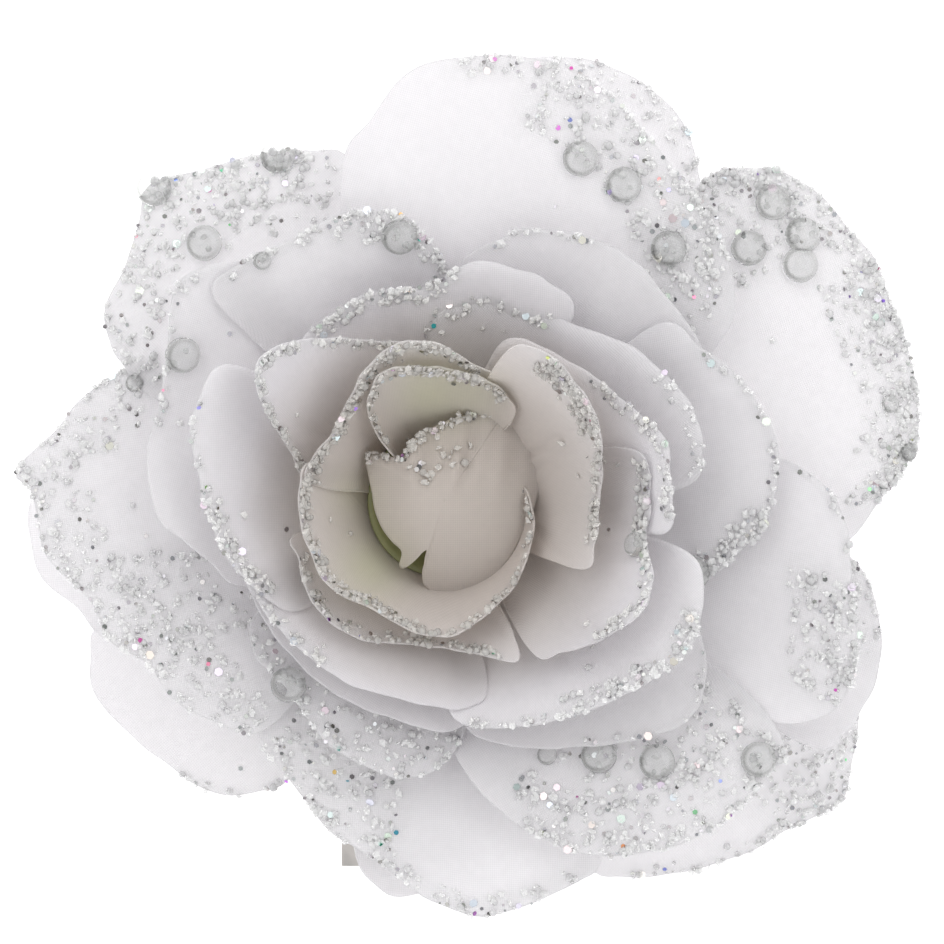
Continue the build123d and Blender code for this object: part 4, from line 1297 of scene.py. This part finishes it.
@dataclass
class DewdropBeads:
    """The clear domed beads, each set on its petal where it is seen from above."""

    beads: tuple = DEWDROPS
    dome_height: float = 0.8
    squareness: float = 0.85
    ring_radius: float = 0.84
    shaded_side_bearing: float = 3.6
    glue_film: float = 0.12

    def ring(self, shape: np.ndarray) -> np.ndarray:
        """Painted shade on the moulded shoulder: a dark bell over the radius, deeper on one side of the
        bead.
        """
        reach, turn = np.hypot(shape[:, 0], shape[:, 1]), np.arctan2(shape[:, 1], shape[:, 0])
        bell = np.exp(-(((reach - self.ring_radius) / 0.11) ** 2)) * (shape[:, 2] > 0.1)
        return bell * (0.6 + 0.4 * np.cos(turn - self.shaded_side_bearing))

    def profile(self) -> np.ndarray:
        """Side of a bead of radius 1: a flat foot, a short wall and a squarish dome, which is a
        superellipse: cosine and sine of an even angle, each raised to the same power."""
        lean = np.linspace(0, math.pi / 2, 24)
        rounded = np.stack([np.cos(lean), np.sin(lean)], -1).clip(0, 1) ** self.squareness
        dome = rounded * [1.0, self.dome_height - 0.16] + [0.0, 0.16]
        foot = np.array([[0, 0], [0.55, 0], [0.9, 0.0], [0.985, 0.05]])
        return np.concatenate([foot, dome])

    def seat(self, bead: Dewdrop) -> tuple[np.ndarray, np.ndarray]:
        """Nearest point of the petal, seen from above, and its normal."""
        layer = LAYERS[bead.layer]
        petal = next(p for p in layer.petals if p.name == bead.petal)
        u, v = np.meshgrid(np.linspace(0.01, 0.99, 160), np.linspace(0.3, 0.985, 120))
        grid = layer.surface(petal, u, v)
        away = np.hypot(grid[..., 0] - bead.x, grid[..., 1] - bead.y)
        row, column = np.unravel_index(away.argmin(), away.shape)
        point, normal = surface_at(layer, petal, u[row, column], v[row, column])
        return point, normal

    def build(self) -> None:
        """Makes one piece for the beads of each layer in place of the CAD beads."""
        material = ClearGlass("dewdrop_clear", tint=(0.99, 0.995, 0.99), clearness=0.85).material()
        shape, faces = turned_profile(self.profile(), 40)
        nodes = {1: "dewdrops_outer", 2: "dewdrops_front", 3: "dewdrops_middle", 5: "dewdrops_inner"}
        for layer, node in nodes.items():
            points, quads = [], []
            for bead in (b for b in self.beads if b.layer == layer):
                point, up = self.seat(bead)
                first = np.cross([0.0, 1.0, 0.2], up)
                first /= np.linalg.norm(first)
                axes = np.stack([first, np.cross(up, first), up])
                placed = point + up * self.glue_film + (shape * bead.radius) @ axes
                quads += [[c + len(points) * len(shape) for c in f] for f in faces]
                points.append(placed)
            piece = mesh_piece(node.replace("dewdrops", "beads"), to_frame(np.concatenate(points)), quads)
            # painted shade: a dark ring on each bead's shoulder, deeper on one side
            point_values(piece, "shade", np.tile(self.ring(shape), len(points)))
            piece.data.materials.append(material)
            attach(piece, "flower")
            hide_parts(node)
            LOG.info("%s: %d beads", piece.name, len(points))


@dataclass
class Underside:
    """What carries the flower: felt pad, glue, plastic hub and the seat of the bud."""

    pad_edge: float = 0.45
    seat_radius: float = 9.15
    pad_sides: int = 144
    pad_unevenness: float = 0.12

    def felt_pad(self) -> None:
        """Makes the felt disc: a turned profile with rounded edges and a slightly uneven rim."""
        low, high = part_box("felt_pad")
        radius = (high.x - low.x) / 2 / MM
        thick = (high.z - low.z) / MM
        edge = self.pad_edge
        profile = np.array([
            (0, 0), (radius * 0.5, 0), (radius - edge, 0), (radius - 0.1, edge * 0.4), (radius, thick / 2),
            (radius - 0.1, thick - edge * 0.4), (radius - edge, thick), (radius * 0.5, thick), (0, thick),
        ])
        rng = np.random.default_rng(5)
        around = np.linspace(0, 2 * math.pi, self.pad_sides, endpoint=False)
        level = np.linspace(0, 1, len(profile) - 2)
        x, y = np.meshgrid(around * radius, level * 4)
        weight = (profile[1:-1, :1] > radius * 0.9) * self.pad_unevenness
        points, faces = turned_profile(profile, self.pad_sides, ripples(x, y, rng, 1.0, 6.0) * weight)
        centre = np.array([(low.x + high.x) / 2, (low.y + high.y) / 2, low.z])
        piece = mesh_piece("felt_disc", points * MM + centre, faces)
        piece.data.materials.append(WHITE_FELT.material())
        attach(piece, "flower")
        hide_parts("felt_pad")

    def bud_seat(self, material: bpy.types.Material) -> None:
        """Makes the shallow plastic saucer that the bud sits in."""
        profile = np.array([
            (0, 26.3), (3.3, 26.3), (6.0, 27.0), (8.6, 28.2), (self.seat_radius, 28.75),
            (self.seat_radius - 0.15, 29.05), (8.3, 28.8), (5.8, 27.7), (3.3, 27.1), (0, 27.0),
        ])
        points, faces = turned_profile(profile, 72)
        piece = mesh_piece("bud_seat", to_frame(points), faces)
        piece.data.materials.append(material)
        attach(piece, "flower")

    def build(self) -> None:
        """Makes the felt and the bud's seat, and finishes the hub, core and glue."""
        self.felt_pad()
        olive = OLIVE_PLASTIC.material()
        self.bud_seat(olive)
        dress(olive, "hub", "bud_core")
        dress(SET_GLUE.material(), "glue")


def dress(material: bpy.types.Material, *nodes: str) -> None:
    """Gives CAD nodes a material."""
    for node in nodes:
        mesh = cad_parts[node].data
        mesh.materials.clear()
        mesh.materials.append(material)
        LOG.info("%s: %s", node, material.name)


@dataclass
class Clip:
    """The sprung metal clip, whose CAD parts are shown as they are."""

    plate: NickelSteel = field(default_factory=lambda: NickelSteel("clip_nickel"))
    wire: NickelSteel = field(default_factory=lambda: NickelSteel(
        "spring_wire", grain_along=(300.0, 300.0, 300.0), dull=0.3, bright=0.16
    ))

    def build(self) -> None:
        """Finishes the plates, the pin and the spring."""
        dress(self.plate.material(), "clip_fixed_plate", "clip_moving_plate")
        dress(self.wire.material(), "clip_hinge_pin", "clip_spring")


# ---------------------------------------------------------------- studio
@dataclass
class Studio:
    """Bright white floor, broad soft lights all round, and a camera looking straight down."""

    floor_size: float = 3.0
    floor_height: float = -0.0003
    floor_glow: float = 0.56
    camera_height: float = 1.5
    lens: float = 472.4
    view_centre: tuple = (0.00097, 0.0022)
    lamp_distance: float = 0.9
    lamp_size: float = 0.7
    lamp_power: float = 1.0
    lamp_count: int = 6
    lamp_leans: tuple = (58, 38)
    north_gain: float = 0.45
    sky_tones: tuple = (
        (0.0, (0.95, 0.95, 0.96)), (0.35, (0.92, 0.92, 0.93)),
        (0.84, (0.78, 0.78, 0.79)), (0.94, (0.22, 0.22, 0.23)),
    )

    def floor(self) -> None:
        """Makes the floor, which glows evenly so that the cloth is lit from behind too."""
        half = self.floor_size / 2
        square = np.array([(-1, -1, 0), (1, -1, 0), (1, 1, 0), (-1, 1, 0)])
        corners = square * half + [0, 0, self.floor_height]
        piece = mesh_piece("studio_floor", corners, [[0, 1, 2, 3]], smooth=False)
        finish = Finish("floor_white")
        material, graph, shader = finish.start()
        patch = finish.mottle(graph, 2.0, 0.0, 1.0)
        colour = graph.blend(patch.outputs["Value"], (0.93, 0.93, 0.93, 1), (0.95, 0.95, 0.95, 1))
        graph.tree.links.new(colour, shader.inputs["Base Color"])
        graph.tree.links.new(colour, shader.inputs["Emission Color"])
        shader.inputs["Emission Strength"].default_value = self.floor_glow
        shader.inputs["Roughness"].default_value = 0.9
        piece.data.materials.append(material)

    def sky(self) -> None:
        """Makes surroundings that are light near the horizon and grey overhead."""
        world = bpy.data.worlds.new("studio_sky")
        bpy.context.scene.world = world
        world.use_nodes = True
        graph = Graph(world.node_tree)
        graph.tree.nodes.clear()
        direction = graph.add("ShaderNodeTexCoord").outputs["Generated"]
        up = graph.add("ShaderNodeSeparateXYZ", in0=direction).outputs[2]
        colour = graph.ramp(up, self.sky_tones)
        background = graph.add("ShaderNodeBackground", Color=colour, Strength=1.0)
        output = graph.add("ShaderNodeOutputWorld")
        graph.tree.links.new(background.outputs[0], output.inputs[0])

    def lamps(self) -> None:
        """Places six broad area lamps round the object at two heights, all facing it."""
        for number in range(self.lamp_count):
            bearing = math.radians(30 + 360 / self.lamp_count * number)
            lean = math.radians(self.lamp_leans[number % 2])
            data = bpy.data.lights.new(f"lamp_{number}", "AREA")
            data.shape = "DISK"
            data.size = self.lamp_size
            data.energy = self.lamp_power * (1.0 + self.north_gain * math.sin(bearing))
            lamp = bpy.data.objects.new(data.name, data)
            level = math.cos(lean)
            place = np.array([math.cos(bearing) * level, math.sin(bearing) * level, math.sin(lean)])
            lamp.location = place * self.lamp_distance
            lamp.rotation_euler = (math.pi / 2 - lean, 0.0, bearing + math.pi / 2)
            bpy.context.scene.collection.objects.link(lamp)

    def camera(self) -> None:
        """Places the camera straight above the flower."""
        data = bpy.data.cameras.new("camera")
        data.lens = self.lens
        data.sensor_width = 36.0
        data.clip_start, data.clip_end = 0.05, 20.0
        camera = bpy.data.objects.new("camera", data)
        camera.location = (*self.view_centre, self.camera_height)
        bpy.context.scene.collection.objects.link(camera)
        bpy.context.scene.camera = camera

    def build(self) -> None:
        """Sets up the whole studio."""
        bpy.context.scene.view_settings.view_transform = "Standard"
        self.floor()
        self.sky()
        self.lamps()
        self.camera()


def main() -> None:
    """Builds every piece in order."""
    logging.basicConfig(level=logging.INFO, format="%(name)s %(message)s")
    plain_weave_group()
    mottle_group()
    for part in (Studio(), Clip(), Underside(), Rose(), Dusting(), DewdropBeads()):
        part.build()
        LOG.info("%s done", type(part).__name__)


if __name__ == "__main__":
    main()
